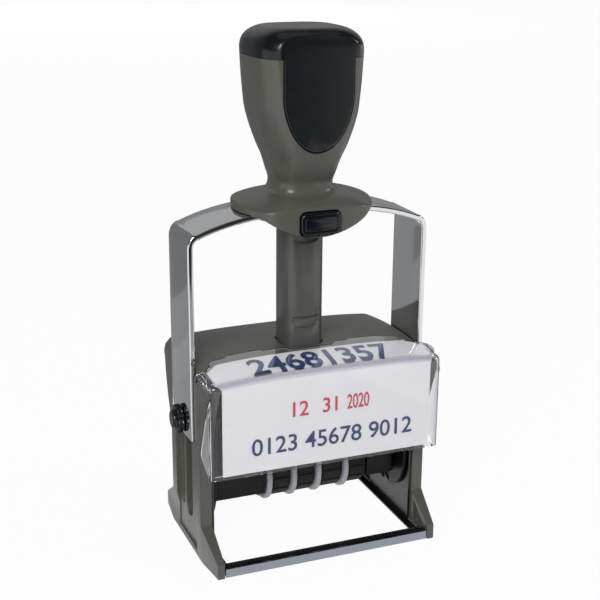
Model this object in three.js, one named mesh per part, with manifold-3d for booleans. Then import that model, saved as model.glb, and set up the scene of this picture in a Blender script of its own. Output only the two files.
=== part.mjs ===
// Self-inking date stamp, in millimetres: +Z up, front towards -Y, origin at the centre of the foot plane.
// Pressing the handle slides the yoke down over the fixed column and turns the die carriage over.
import * as THREE from "three";
import { mergeVertices } from "three/addons/utils/BufferGeometryUtils.js";
import Module from "manifold-3d";

const wasm = await Module();
wasm.setup();

// Running clearance between neighbouring pieces, and how far a cutter runs past what it cuts
const fitGap = 0.3;
const cutOver = 1;

// Imprint: the rubber dies, their plate, and how far their face lies from the axle
const dieHalfWidth = 29.5;
const dieThickness = 1.4;
const dieReach = 12.2;
const dieEdge = 0.6;
const diePlateMargin = 1.5;
const diePlateHalfDepth = 17;
const diePlateThickness = 1.6;
const dieStopHeight = 1.5;

// Axle with its bushes and nuts
const axleHeight = 48.3;
const axleRadius = 2;
const bushRadius = 3.3;
const nutRadius = 5.1;
const nutThickness = 2.1;
const nutCapRadius = 3.5;
const nutCapThickness = 1.3;
const nutRibs = 20;
const nutRibShare = 0.93;

// Date bands, the bridge that carries them and the thumb wheels that turn them
const wheelDrop = 25.6;
const wheelRadius = 9.9;
const wheelThickness = 1.8;
const wheelTeeth = 30;
const wheelToothShare = 0.965;
const wheelPitch = 9.5;
const yearPitch = 10.8;
const wheelAxleRadius = 1.6;
const drumRadius = 7.4;
const drumSides = 16;
const bandThickness = 1;
const bridgeRadius = 2.6;
const bandEndGap = 0.4;

// Die carriage: end plates, side blocks and top bars
const endPlateThickness = 1.5;
const endPlateGap = 0.4;
const endPlateHalf = 15.5;
const endPlateDrop = 32.3;
const endPlateShares = [[1, 1], [1, 0.9], [0.55, 0.69], [0.4, 0.13], [0.27, 0]];
const blockGap = 0.6;
const blockHalfDepth = 8.5;
const blockDrop = 30.2;
const barSetback = 0.7;
const barHeight = 3.9;
const cheekRadius = 8.7;
const cheekThickness = 1.2;
const cheekBarHeight = 9;

// Ink pad and its tray under the roof
const padGap = 1.3;
const padMargin = 1.3;
const padDepthMargin = 0.5;
const padThickness = 2.7;
const trayWall = 1.5;
const trayThickness = 3.6;
const trayRimInset = 0.4;
const trayFlangeWidth = 2.6;
const trayFlangeThickness = 1;
const trayTabHalf = 9;
const trayTabReach = 2.6;

// Inner side plates with their bottom flanges, and the black cam plates beside them
const carriageMargin = 1.7;
const sidePlateThickness = 0.7;
const sidePlateHalf = 16.3;
const sidePlateBottom = 0.5;
const flangeWidth = 2.9;
const camPlateThickness = 1.2;
const camPlateHalf = 14.7;
const camPlateShoulder = 25;
const camPlateTip = 10.2;
const camPlateShares = [[0.97, 0.74], [0.87, 0.5], [0.71, 0.29], [0.5, 0.134], [0.26, 0.034]];

// Housing: a roof on two side walls with flared shoulders and sloping feet
const housingDepth = 58.6;
const housingFrontReach = 27.3;
const wallThickness = 4.2;
const roofRoom = 4.7;
const roofThickness = 2;
const roofFallToEdge = 2.9;
const roofFallToEnd = 2.4;
const roofEndPower = 3;
const roofCornerShare = 0.7;
const shoulderRadius = 3;
const postDepth = 34.5;
const flareHeight = 42.7;
const flareBackShares = [[0.12, 0.02], [0.34, 0.24], [0.5, 0.5], [0.6, 0.8]];
const footHeight = 13.8;
const footDepth = 61.6;
const footTipHeight = 5.6;
const footDraft = 1.6;
const channelDepth = 1.2;
const channelSideGap = 0.35;
const channelSill = 2;
const sideGrooveWidth = 3.6;
const sideGrooveDepth = 0.8;
const footPocketDepth = 2;
const footPocketRim = 1.6;
const ledgeWidth = 5.4;
const ledgeThickness = 1.6;

// Yoke: a bent flat strap, its arch flat in the middle and falling towards the corners
const strapThickness = 2;
const strapWidth = 22.3;
const yokeRoom = 15.7;
const yokeArchDrop = 6;
const yokeArchPower = 2.75;
const yokeCornerReach = 3.6;
const yokeCornerDrop = 5.4;
const legReach = 4.8;

// Column: a rounded square post with two latch notches in its front
const columnHalf = 7.4;
const columnRise = 2.3;
const columnBoreSpare = 8.4;
const columnFlangeWidth = 3.6;
const columnFlangeThickness = 1.6;
const notchHalf = 4.8;
const notchDepth = 1.3;
const notchRound = 2.4;
const topNotchRun = 5.9;
const lowNotchRun = 2;
const cornerPower = 3.3;

// Grip: half width and half depth follow these shares from the collar to the parting line
const gripHalf = 18.9;
const gripFlat = 16.4;
const gripRise = 2.7;
const capHeight = 9.5;
const gripShares = [
  [0, 0.575, 0.58], [0.11, 0.534, 0.561], [0.18, 0.577, 0.635], [0.28, 0.64, 0.746],
  [0.357, 0.72, 0.83], [0.43, 0.783, 0.895], [0.52, 0.857, 0.942], [0.62, 0.921, 0.968],
  [0.73, 0.952, 0.984], [0.84, 0.976, 0.995], [1, 1, 1],
];
const capShares = [
  [0, 1], [0.28, 1], [0.5, 0.975], [0.68, 0.92], [0.82, 0.838], [0.92, 0.74], [0.98, 0.63], [1, 0.5],
];
const capPlugLength = 4.4;
const tongueHalf = 12.3;
const tongueLength = 30.8;
const tongueRoundHeight = 18;
const tonguePower = 1.7;
const tongueInset = 1.8;
const tongueProud = 0.35;

// Collar under the grip, a boat shape that straddles the yoke
const collarHalfLength = 24;
const collarHalfDepth = 18.8;
const collarRise = 4.7;
const collarHeight = 13.4;
const collarCrown = 3;
const collarCrownPower = 3.4;
const collarArch = 11;
const collarRim = 3.2;
const collarBackShares = [[1, 0], [0.985, 0.22], [0.93, 0.46], [0.81, 0.66], [0.64, 0.82], [0.35, 0.955]];
const collarFrontShares = [
  [1, 0], [0.985, 0.29], [0.945, 0.51], [0.87, 0.727], [0.8, 0.858], [0.745, 0.935], [0.68, 0.985], [0.6, 1],
];

// Clamp plate under the strap, with its two screws
const clampHalfLength = 15.5;
const clampLift = 0.4;
const clampSideGap = 0.25;
const screwOffset = 12.2;
const screwRadius = 1.3;
const screwHeadRadius = 2.3;
const screwHeadHeight = 1.2;
const screwReach = 2.2;

// Lock button in the collar's front
const buttonHalfWidth = 7.2;
const buttonHeight = 8;
const buttonLift = 1;
const buttonThickness = 2.5;
const buttonProud = 1.1;
const buttonCorner = 2;
const recessRim = 0.4;
const recessDepth = 3.8;
const latchHalf = 4;
const latchDrop = 3.8;
const latchThickness = 1.7;
const latchStandoff = 0.9;

// Spring in the grip and the rod inside it
const guideRodRadius = 2.4;
const guideRodGap = 0.5;
const guideRodDepth = 6;
const guideRodSeat = 3;
const springRadius = 5;
const springWire = 1.2;
const springTurns = 7;
const springSteps = 8;
const springSides = 5;
const springRoom = 13.2;

// Rails; the rear one's inner lip stands up as a low wall
const railDepth = 4.2;
const railInset = 0.1;
const railBottom = 0.3;
const railTop = 3.6;
const stripWidth = 1.6;
const stripDepth = 1.1;
const rearWallTop = 12.8;
const rearWallThickness = 0.9;
const rearWallInset = 2.2;

// Label card and the clear cover over it
const cardInset = 4.7;
const cardThickness = 0.4;
const cardStandoff = 0.1;
const cardBottom = 36.6;
const cardFlapReach = 13.3;
const cardFlapInset = 2.9;
const cardCornerReach = 17.6;
const cardCornerInset = 7.5;
const coverGap = 0.2;
const coverThickness = 0.9;
const coverInset = 1.9;
const coverBelowCard = 0.6;
const coverSideFoot = 40.5;
const coverFlapGap = 0.8;
const coverFlapInset = 3.3;
const coverCornerReach = 17.5;
const coverCornerInset = 6.7;
const coverNotchGap = 4.2;
const coverNotchShare = 0.8;
const coverLip = 3;
const coverLipNotchHalf = 4.5;

// Mesh fineness
const roundSides = 24;
const gripSides = 32;
const sheetColumns = 16;
const sheetRows = 8;
const arcSteps = 10;
const collarRings = 5;

// Across, from the imprint out to the yoke's legs
const diePlateHalfWidth = dieHalfWidth + diePlateMargin;
const padHalfWidth = dieHalfWidth + padMargin;
const trayHalfWidth = padHalfWidth + fitGap + trayWall;
const endPlateInner = trayHalfWidth + carriageMargin;
const endPlateOuter = endPlateInner + endPlateThickness;
const camPlateInner = endPlateOuter + endPlateGap;
const camPlateOuter = camPlateInner + camPlateThickness;
const sidePlateInner = camPlateOuter + fitGap;
const sidePlateOuter = sidePlateInner + sidePlateThickness;
const wallInner = sidePlateOuter + fitGap;
const housingHalf = wallInner + wallThickness;
const legInner = housingHalf - channelDepth + fitGap;
const yokeHalf = legInner + strapThickness;
const cardHalfWidth = housingHalf - cardInset;
const cardFlapHalf = housingHalf - cardFlapInset;
const cardCornerHalf = housingHalf - cardCornerInset;
const coverHalfWidth = housingHalf - coverInset;
const coverFlapHalf = housingHalf - coverFlapInset;
const coverCornerHalf = housingHalf - coverCornerInset;
const firstWheel = -wheelPitch * 1.5;
const hubLength = wheelPitch - wheelThickness - fitGap;
const yearWheel = firstWheel + wheelPitch * 2 + yearPitch;
const blockInner = yearWheel + wheelThickness / 2 + hubLength + blockGap;

// Front to back
const strapHalf = strapWidth / 2;
const roofEdge = housingDepth / 2;
const postHalf = postDepth / 2;
const footHalf = footDepth / 2;
const slotHalf = bushRadius + fitGap;
const boreHalf = columnHalf + fitGap + fitGap / 2;
const padHalfDepth = diePlateHalfDepth + padDepthMargin;
const trayHalfDepth = padHalfDepth + fitGap + trayWall;
const dieSlotHalf = bridgeRadius + fitGap + bandThickness + bandEndGap;
const barInner = dieSlotHalf + barSetback;
const railFace = footHalf - railInset;
const flangeHalf = railFace - railDepth - fitGap * 2;
const cardFace = housingFrontReach + cardStandoff + cardThickness;
const coverFace = cardFace + coverGap + coverThickness;
const coverFlapReach = columnHalf + coverFlapGap;
const coverNotchReach = columnHalf + coverNotchGap;
const coverNotchHalf = columnHalf + fitGap;
const columnFlangeHalf = columnHalf + columnFlangeWidth;
const columnBoreRadius = guideRodRadius + guideRodGap;

// Up the carriage and the housing, then the yoke, collar and grip that move on them
const pressTravel = axleHeight - dieReach - dieStopHeight;
const axleLow = axleHeight - pressTravel;
const wheelHeight = axleHeight - wheelDrop;
const blockBottom = axleHeight - blockDrop;
const endPlateBottom = axleHeight - endPlateDrop;
const dieFace = axleHeight + dieReach;
const diePlateTop = dieFace - dieThickness - fitGap;
const carriageTop = diePlateTop - diePlateThickness - fitGap;
const bridgeHeight = dieFace - bandThickness - fitGap - bridgeRadius;
const padFace = dieFace + padGap;
const trayTop = padFace + fitGap + trayThickness;
const flangeUnder = trayTop - trayFlangeThickness;
const ledgeTop = flangeUnder - fitGap;
const platesTop = ledgeTop - ledgeThickness - fitGap * 4;
const roofCrest = trayTop + roofRoom + roofThickness;
const legBottom = axleHeight - legReach;
const yokeTop = roofCrest + pressTravel + yokeRoom;
const columnTop = yokeTop + columnRise;
const guideRodBottom = columnTop - guideRodDepth;
const columnBoreFloor = guideRodBottom - pressTravel - columnBoreSpare;
const collarTop = yokeTop + collarRise;
const collarBottom = collarTop - collarHeight;
const buttonMiddle = collarBottom + buttonLift + buttonHeight / 2;
const latchBottom = buttonMiddle - latchDrop;
const gripFoot = yokeTop + gripRise;
const gripParting = columnTop + pressTravel + springRoom;
const gripTop = gripParting + capHeight;
const tongueTip = gripParting - tongueLength;
const coverBottom = cardBottom - coverBelowCard;

// Materials
function finish(color, roughness, metalness) {
  return new THREE.MeshStandardMaterial({ color, roughness, metalness });
}
const greyPlastic = finish(0x66635b, 0.5, 0);
const columnPlastic = finish(0x65635f, 0.35, 0);
const blackPlastic = finish(0x14181b, 0.35, 0);
const chromeSteel = finish(0xb9bcc0, 0.12, 1);
const darkSteel = finish(0x77787a, 0.3, 1);
const whiteCard = finish(0xe4e5ea, 0.6, 0);
const blackRubber = finish(0x1b1b1c, 0.8, 0);
const padFoam = finish(0x2a2f6e, 0.9, 0);
const wheelPlastic = finish(0xb9b9bd, 0.45, 0);
const clearPlastic = finish(0xe9eef0, 0.05, 0);
clearPlastic.transparent = true;
clearPlastic.opacity = 0.3;

// Closed three.js geometry to a solid that can be joined and cut
function solid(geometry) {
  const bare = new THREE.BufferGeometry();
  bare.setAttribute("position", geometry.getAttribute("position"));
  if (geometry.index) bare.setIndex(geometry.index);
  const merged = mergeVertices(bare);
  const vertProperties = merged.attributes.position.array;
  const triVerts = new Uint32Array(merged.index.array);
  return new wasm.Manifold(new wasm.Mesh({ numProp: 3, vertProperties, triVerts }));
}

function join(...pieces) {
  return pieces.reduce((whole, piece) => whole.add(piece));
}

function cut(whole, ...cutters) {
  return cutters.reduce((rest, cutter) => rest.subtract(cutter), whole);
}

function fromPoints(vertices, faces) {
  const geometry = new THREE.BufferGeometry();
  geometry.setAttribute("position", new THREE.Float32BufferAttribute(vertices.flat(), 3));
  geometry.setIndex(faces.flat());
  return solid(geometry);
}

function quad(a, b, c, d) {
  return [[a, b, c], [a, c, d]];
}

function block(x0, x1, y0, y1, z0, z1) {
  const geometry = new THREE.BoxGeometry(x1 - x0, y1 - y0, z1 - z0);
  geometry.translate((x0 + x1) / 2, (y0 + y1) / 2, (z0 + z1) / 2);
  return solid(geometry);
}

function extruded(points, depth, basis) {
  const shape = new THREE.Shape(points.map(([u, v]) => new THREE.Vector2(u, v)));
  const geometry = new THREE.ExtrudeGeometry(shape, { depth, bevelEnabled: false });
  return geometry.applyMatrix4(basis);
}

const unitX = new THREE.Vector3(1, 0, 0);
const unitY = new THREE.Vector3(0, 1, 0);
const unitZ = new THREE.Vector3(0, 0, 1);

// Outline of (y, z) points swept along X
function alongX(points, x0, x1) {
  const basis = new THREE.Matrix4().makeBasis(unitY, unitZ, unitX).setPosition(x0, 0, 0);
  return solid(extruded(points, x1 - x0, basis));
}

// Outline of (x, z) points swept along Y
function alongY(points, y0, y1) {
  const basis = new THREE.Matrix4().makeBasis(unitX, unitZ, unitY.clone().negate()).setPosition(0, y1, 0);
  return solid(extruded(points, y1 - y0, basis));
}

// Outline of (x, y) points swept along Z
function alongZ(points, z0, z1) {
  const basis = new THREE.Matrix4().setPosition(0, 0, z0);
  return solid(extruded(points, z1 - z0, basis));
}

function circle(u, v, radius, sides = roundSides) {
  const points = [];
  for (let i = 0; i < sides; i++) {
    const angle = (2 * Math.PI * (i + 0.5)) / sides;
    points.push([u + radius * Math.cos(angle), v + radius * Math.sin(angle)]);
  }
  return points;
}

function rodX(radius, x0, x1, z, sides = roundSides) {
  return alongX(circle(0, z, radius, sides), x0, x1);
}

// Slot outline with round ends, upright between two heights
function uprightSlot(y, half, z0, z1) {
  const points = [];
  for (let i = 0; i <= arcSteps; i++) {
    const angle = (Math.PI * i) / arcSteps;
    points.push([y + half * Math.cos(angle), z1 + half * Math.sin(angle)]);
  }
  for (let i = 0; i <= arcSteps; i++) {
    const angle = Math.PI + (Math.PI * i) / arcSteps;
    points.push([y + half * Math.cos(angle), z0 + half * Math.sin(angle)]);
  }
  return points;
}

// Toothed circle, its valleys at a share of the radius
function toothed(v, radius, teeth, share) {
  const points = [];
  for (let i = 0; i < teeth * 2; i++) {
    const angle = (Math.PI * i) / teeth;
    const r = i % 2 ? radius * share : radius;
    points.push([r * Math.cos(angle), v + r * Math.sin(angle)]);
  }
  return points;
}

// Rounded square outline, pulled flat at the front and back
function roundedSquare(halfX, halfY, flat, sides = gripSides) {
  const points = [];
  for (let i = 0; i < sides; i++) {
    const angle = (2 * Math.PI * i) / sides;
    const c = Math.cos(angle);
    const s = Math.sin(angle);
    const x = halfX * Math.sign(c) * Math.abs(c) ** (2 / cornerPower);
    const y = halfY * Math.sign(s) * Math.abs(s) ** (2 / cornerPower);
    points.push([x, Math.max(-flat, Math.min(flat, y))]);
  }
  return points;
}

function squarePost(half, z0, z1) {
  return alongZ(roundedSquare(half, half, half), z0, z1);
}

// Stack of rings of equal count, lowest first, closed by a fan at each end
function loft(rings) {
  const count = rings[0].length;
  const vertices = rings.flat();
  const faces = [];
  for (let k = 0; k + 1 < rings.length; k++) {
    for (let i = 0; i < count; i++) {
      const next = (i + 1) % count;
      faces.push(...quad(k * count + i, k * count + next, (k + 1) * count + next, (k + 1) * count + i));
    }
  }
  const top = (rings.length - 1) * count;
  for (let i = 1; i + 1 < count; i++) {
    faces.push([0, i + 1, i], [top, top + i, top + i + 1]);
  }
  return fromPoints(vertices, faces);
}

// Sheet over a rectangle, between an upper and a lower height function, finer towards its ends
function sheet(x0, x1, y0, y1, upper, lower) {
  const vertices = [];
  const faces = [];
  for (const height of [upper, lower]) {
    for (let i = 0; i <= sheetColumns; i++) {
      for (let j = 0; j <= sheetRows; j++) {
        const x = (x0 + x1) / 2 - ((x1 - x0) / 2) * Math.cos((Math.PI * i) / sheetColumns);
        const y = y0 + ((y1 - y0) * j) / sheetRows;
        vertices.push([x, y, height(x, y)]);
      }
    }
  }
  const at = (level, i, j) => (level * (sheetColumns + 1) + i) * (sheetRows + 1) + j;
  for (let i = 0; i < sheetColumns; i++) {
    for (let j = 0; j < sheetRows; j++) {
      faces.push(...quad(at(0, i, j), at(0, i + 1, j), at(0, i + 1, j + 1), at(0, i, j + 1)));
      faces.push(...quad(at(1, i, j), at(1, i, j + 1), at(1, i + 1, j + 1), at(1, i + 1, j)));
    }
    const last = sheetRows;
    faces.push(...quad(at(1, i, 0), at(1, i + 1, 0), at(0, i + 1, 0), at(0, i, 0)));
    faces.push(...quad(at(1, i + 1, last), at(1, i, last), at(0, i, last), at(0, i + 1, last)));
  }
  for (let j = 0; j < sheetRows; j++) {
    const end = sheetColumns;
    faces.push(...quad(at(1, 0, j + 1), at(1, 0, j), at(0, 0, j), at(0, 0, j + 1)));
    faces.push(...quad(at(1, end, j), at(1, end, j + 1), at(0, end, j + 1), at(0, end, j)));
  }
  return fromPoints(vertices, faces);
}

function roofHeight(x, y) {
  const deep = (y / roofEdge) ** 2;
  const wide = (Math.abs(x) / housingHalf) ** roofEndPower;
  const endFall = roofFallToEnd * wide * (1 - (1 - roofCornerShare) * deep);
  return roofCrest - roofFallToEdge * deep - endFall;
}

// Roof with its long shoulders rounded off
function shoulderHeight(x, y) {
  const past = Math.max(0, Math.abs(x) - housingHalf + shoulderRadius);
  return roofHeight(x, y) - shoulderRadius + Math.sqrt(Math.max(0, shoulderRadius ** 2 - past ** 2));
}

function archHeight(x) {
  const span = yokeHalf - yokeCornerReach;
  return yokeTop - yokeArchDrop * (Math.abs(x) / span) ** yokeArchPower;
}

// Side wall: outline in (y, z), its foot tips drawn in towards the middle
function sideWall(side) {
  const backReach = roofEdge - postHalf;
  const frontShoulder = roofHeight(housingHalf, housingFrontReach) - roofThickness;
  const points = [
    [-footHalf, 0], [-postHalf, 0], [postHalf, 0], [footHalf, 0],
    [footHalf, footTipHeight], [postHalf, footHeight], [postHalf, flareHeight],
  ];
  for (const [back, rise] of flareBackShares) {
    points.push([postHalf + backReach * back, flareHeight + (roofCrest - flareHeight) * rise]);
  }
  points.push(
    [postHalf + backReach * flareBackShares.at(-1)[0], roofCrest],
    [-housingFrontReach, roofCrest], [-housingFrontReach, frontShoulder],
    [-postHalf, flareHeight], [-postHalf, footHeight], [-footHalf, footTipHeight],
  );
  const basis = new THREE.Matrix4().makeBasis(unitY, unitZ, unitX).setPosition(wallInner, 0, 0);
  const geometry = extruded(points, wallThickness, basis);
  const place = geometry.getAttribute("position");
  for (let i = 0; i < place.count; i++) {
    const past = Math.max(0, Math.abs(place.getY(i)) - postHalf) / (footHalf - postHalf);
    const outer = place.getX(i) > wallInner + wallThickness / 2;
    if (outer && place.getZ(i) < footHeight) place.setX(i, place.getX(i) - footDraft * past);
  }
  const pockets = [1, -1].map(end => footPocket(end));
  const lower = () => -cutOver;
  const upper = (x, y) => shoulderHeight(x, y) - roofThickness / 2;
  const underRoof = sheet(-housingHalf, housingHalf, -footHalf - cutOver, footHalf + cutOver, upper, lower);
  const wall = cut(
    solid(geometry).intersect(underRoof),
    alongX(uprightSlot(0, slotHalf, axleLow, axleHeight), wallInner - cutOver, housingHalf + cutOver),
    ...pockets,
  );
  return side > 0 ? wall : mirrored(wall);
}

function footPocket(end) {
  const low = postHalf + footPocketRim;
  const high = footHalf - footPocketRim * 2;
  const points = [
    [low, footPocketRim], [high, footPocketRim],
    [high, footTipHeight - footPocketRim], [low, footHeight - footPocketRim * 2],
  ];
  return alongX(points.map(([y, z]) => [y * end, z]), wallInner - cutOver, wallInner + footPocketDepth);
}

// The same solid on the other side of the plane x = 0
function mirrored(piece) {
  const mesh = piece.getMesh();
  const vertices = [];
  const faces = [];
  for (let i = 0; i < mesh.vertProperties.length; i += 3) {
    const [x, y, z] = mesh.vertProperties.slice(i, i + 3);
    vertices.push([-x, y, z]);
  }
  for (let i = 0; i < mesh.triVerts.length; i += 3) {
    const [a, b, c] = mesh.triVerts.slice(i, i + 3);
    faces.push([a, c, b]);
  }
  return fromPoints(vertices, faces);
}

// What a roof corner at the back loses, so that it meets the side wall's flare
function roofCorner(side) {
  const flareBack = postHalf + (roofEdge - postHalf) * flareBackShares.at(-1)[0];
  const past = housingHalf + cutOver;
  return alongZ(
    [
      [side * past, flareBack - cutOver], [side * (housingHalf - wallThickness), roofEdge],
      [side * (housingHalf - wallThickness), roofEdge + cutOver], [side * past, roofEdge + cutOver],
    ],
    flareHeight, roofCrest + cutOver,
  );
}

function housing() {
  const lower = (x, y) => shoulderHeight(x, y) - roofThickness;
  const slab = sheet(-housingHalf, housingHalf, -housingFrontReach, roofEdge, shoulderHeight, lower);
  const roof = cut(slab, roofCorner(1), roofCorner(-1));
  const halves = [1, -1].map(side => {
    const channel = side * (housingHalf - channelDepth);
    const groove = side * (housingHalf - channelDepth - sideGrooveDepth);
    const past = side * (housingHalf + cutOver);
    const span = (a, b) => [Math.min(a, b), Math.max(a, b)];
    const strapWay = strapHalf + channelSideGap;
    const grooveMiddle = (slotHalf + strapWay) / 2;
    return {
      wall: sideWall(side),
      ledge: block(
        ...span(side * (wallInner + fitGap), side * (wallInner - ledgeWidth)),
        -padHalfDepth - trayWall, roofEdge - trayWall * 2, ledgeTop - ledgeThickness, ledgeTop,
      ),
      way: block(...span(channel, past), -strapWay, strapWay, channelSill, roofCrest + cutOver),
      groove: alongX(
        uprightSlot(grooveMiddle, sideGrooveWidth / 2, axleLow, axleHeight), ...span(groove, past),
      ),
    };
  });
  const body = join(roof, ...halves.flatMap(half => [half.wall, half.ledge]));
  const columnHole = squarePost(columnHalf + fitGap, roofCrest - roofThickness * 2, roofCrest + cutOver);
  return cut(body, columnHole, ...halves.flatMap(half => [half.way, half.groove]));
}

function column() {
  const flangeTop = roofHeight(0, columnFlangeHalf) - roofThickness - fitGap;
  const flangeLow = flangeTop - columnFlangeThickness;
  const notch = (latchLow, run) => {
    const top = latchLow + latchThickness + fitGap * 2;
    const points = [[notchHalf, top], [-notchHalf, top]];
    for (let i = 0; i <= arcSteps; i++) {
      const angle = Math.PI * (1 + i / arcSteps);
      const z = latchLow - run + notchRound * (1 + Math.sin(angle));
      points.push([notchHalf * Math.cos(angle), z]);
    }
    return alongY(points, -columnHalf - cutOver, -columnHalf + notchDepth);
  };
  return cut(
    join(
      squarePost(columnHalf, flangeLow, columnTop),
      block(-columnFlangeHalf, columnFlangeHalf, -columnFlangeHalf, columnFlangeHalf, flangeLow, flangeTop),
    ),
    alongZ(circle(0, 0, columnBoreRadius), columnBoreFloor, columnTop + cutOver),
    notch(latchBottom, topNotchRun),
    notch(latchBottom - pressTravel, lowNotchRun),
  );
}

// The yoke's outline above its legs, outer for an inset of 0
function yokeCurve(inset) {
  const span = yokeHalf - yokeCornerReach;
  const legTop = archHeight(span) - yokeCornerDrop;
  const points = [];
  for (let i = arcSteps; i > 0; i--) {
    const angle = (Math.PI / 2) * (i / arcSteps);
    const x = span + (yokeCornerReach - inset) * Math.sin(angle);
    points.push([x, legTop + (yokeCornerDrop - inset) * Math.cos(angle)]);
  }
  for (let i = arcSteps; i >= 0; i--) {
    const x = (span * i) / arcSteps;
    points.push([x, archHeight(x) - inset]);
  }
  const left = points.slice(0, -1).reverse().map(([x, z]) => [-x, z]);
  return [...points, ...left];
}

function screwHole(side, z0, z1) {
  return alongZ(circle(side * screwOffset, 0, screwRadius + fitGap), z0, z1);
}

function yoke() {
  const outer = [[yokeHalf, legBottom], ...yokeCurve(0), [-yokeHalf, legBottom]];
  const inner = [[legInner, legBottom], ...yokeCurve(strapThickness), [-legInner, legBottom]];
  const strap = alongY([...outer, ...inner.reverse()], -strapHalf, strapHalf);
  const below = yokeTop - yokeArchDrop;
  return cut(
    strap,
    squarePost(boreHalf + fitGap * 2, below, yokeTop + cutOver),
    rodX(axleRadius + fitGap, -yokeHalf - cutOver, yokeHalf + cutOver, axleHeight),
    ...[-1, 1].map(side => screwHole(side, below, yokeTop + cutOver)),
  );
}

// Outer form of the grip or its cap, a little larger by the amount it stands proud
function gripForm(proud) {
  const reach = gripParting - gripFoot;
  const rings = gripShares.map(([level, wide, deep]) => {
    const outline = roundedSquare(gripHalf * wide + proud, gripHalf * deep + proud, gripFlat + proud);
    return outline.map(([x, y]) => [x, y, gripFoot + reach * level]);
  });
  return loft(rings);
}

function capForm(proud, bottom) {
  const rings = capShares.map(([level, share]) => {
    const outline = roundedSquare(gripHalf * share + proud, gripHalf * share + proud, gripFlat + proud);
    return outline.map(([x, y]) => [x, y, bottom + (gripTop - bottom) * level]);
  });
  return loft(rings);
}

// Front tongue's outline in (x, z): straight sides that close to a rounded tip
function tongueOutline(spread, top) {
  const half = tongueHalf + spread;
  const low = tongueTip + tongueRoundHeight;
  const side = [[half, top], [half, low]];
  for (let i = 1; i < arcSteps; i++) {
    const drop = Math.sin((Math.PI / 2) * (i / arcSteps));
    side.push([half * Math.sqrt(1 - drop ** tonguePower), low - (tongueRoundHeight + spread) * drop]);
  }
  const other = side.map(([x, z]) => [-x, z]).reverse();
  return [...side, [0, tongueTip - spread], ...other];
}

// Collar in (x, y), round at the back and flat in front
function collarOutline() {
  const long = collarHalfLength;
  const deep = collarHalfDepth;
  const quarter = (shares, x, y) => shares.map(([a, b]) => [a * x * long, b * y * deep]);
  return [
    ...quarter(collarBackShares, 1, 1),
    [0, deep],
    ...quarter(collarBackShares, -1, 1).slice(1).reverse(),
    ...quarter(collarFrontShares, -1, -1),
    ...quarter(collarFrontShares, 1, -1).slice(1).reverse(),
  ];
}

// Height of the collar's arched underside
function collarUnder(x) {
  return collarBottom + collarArch * (x / collarHalfLength) ** 2;
}

// Collar without its cuts: rings from the middle out, between a crowned top and an arched underside
function collarForm() {
  const outline = collarOutline();
  const top = share => collarTop - collarCrown * share ** collarCrownPower;
  const under = x => Math.min(collarUnder(x), top(1) - collarRim);
  const ring = (share, height) => outline.map(([x, y]) => [x * share, y * share, height(x * share, share)]);
  const shares = [];
  for (let i = 1; i <= collarRings; i++) shares.push(i / collarRings);
  const lower = shares.map(share => ring(share, x => under(x)));
  const upper = shares.map(share => ring(share, () => top(share))).reverse();
  return loft([...lower, ...upper]);
}

// Room that the strap and the clamp plate take under the collar
function strapRoom() {
  const points = [];
  for (let i = -arcSteps; i <= arcSteps; i++) {
    const x = ((collarHalfLength + cutOver) * i) / arcSteps;
    points.push([x, archHeight(x) + fitGap]);
  }
  const low = collarBottom - cutOver;
  points.push([collarHalfLength + cutOver, low], [-collarHalfLength - cutOver, low]);
  return alongY(points, -strapHalf - fitGap, strapHalf + fitGap);
}

function buttonOutline(spread) {
  const half = buttonHalfWidth + spread;
  const tall = buttonHeight / 2 + spread;
  const points = [];
  for (const [sx, sz, start] of [[1, 1, 0], [-1, 1, 1], [-1, -1, 2], [1, -1, 3]]) {
    for (let i = 0; i <= 3; i++) {
      const angle = (Math.PI / 2) * (start + i / 3);
      const x = sx * (half - buttonCorner) + buttonCorner * Math.cos(angle);
      points.push([x, buttonMiddle + sz * (tall - buttonCorner) + buttonCorner * Math.sin(angle)]);
    }
  }
  return points;
}

function handle() {
  const form = join(gripForm(0), collarForm());
  const pocketFloor = gripFlat - tongueInset;
  const recessFloor = -collarHalfDepth + recessDepth;
  return cut(
    form,
    squarePost(boreHalf, collarBottom - cutOver, gripParting + cutOver),
    strapRoom(),
    alongY(tongueOutline(fitGap, gripParting + cutOver), -gripHalf - cutOver, -pocketFloor),
    alongY(buttonOutline(recessRim), -collarHalfDepth - cutOver, recessFloor),
    block(
      -latchHalf - fitGap, latchHalf + fitGap, recessFloor - cutOver, -boreHalf,
      latchBottom - fitGap, latchBottom + latchThickness + fitGap,
    ),
    ...[-1, 1].map(side => screwHole(side, yokeTop - yokeArchDrop, yokeTop + screwReach + fitGap)),
  );
}

function handleCap() {
  const bottom = gripParting + fitGap;
  const proudForm = join(gripForm(tongueProud), capForm(tongueProud, gripParting));
  const tongueBack = -gripFlat + tongueInset - fitGap;
  const tongue = alongY(tongueOutline(0, bottom + cutOver), -gripHalf - cutOver, tongueBack);
  const plugLow = bottom - capPlugLength;
  return cut(
    join(
      capForm(0, bottom),
      tongue.intersect(proudForm),
      squarePost(columnHalf, plugLow, bottom + cutOver),
    ),
    alongZ(circle(0, 0, guideRodRadius + fitGap), plugLow - cutOver, plugLow + guideRodSeat),
  );
}

function guideRod() {
  const top = gripParting + fitGap - capPlugLength + guideRodSeat - fitGap;
  return alongZ(circle(0, 0, guideRodRadius), guideRodBottom, top);
}

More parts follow.
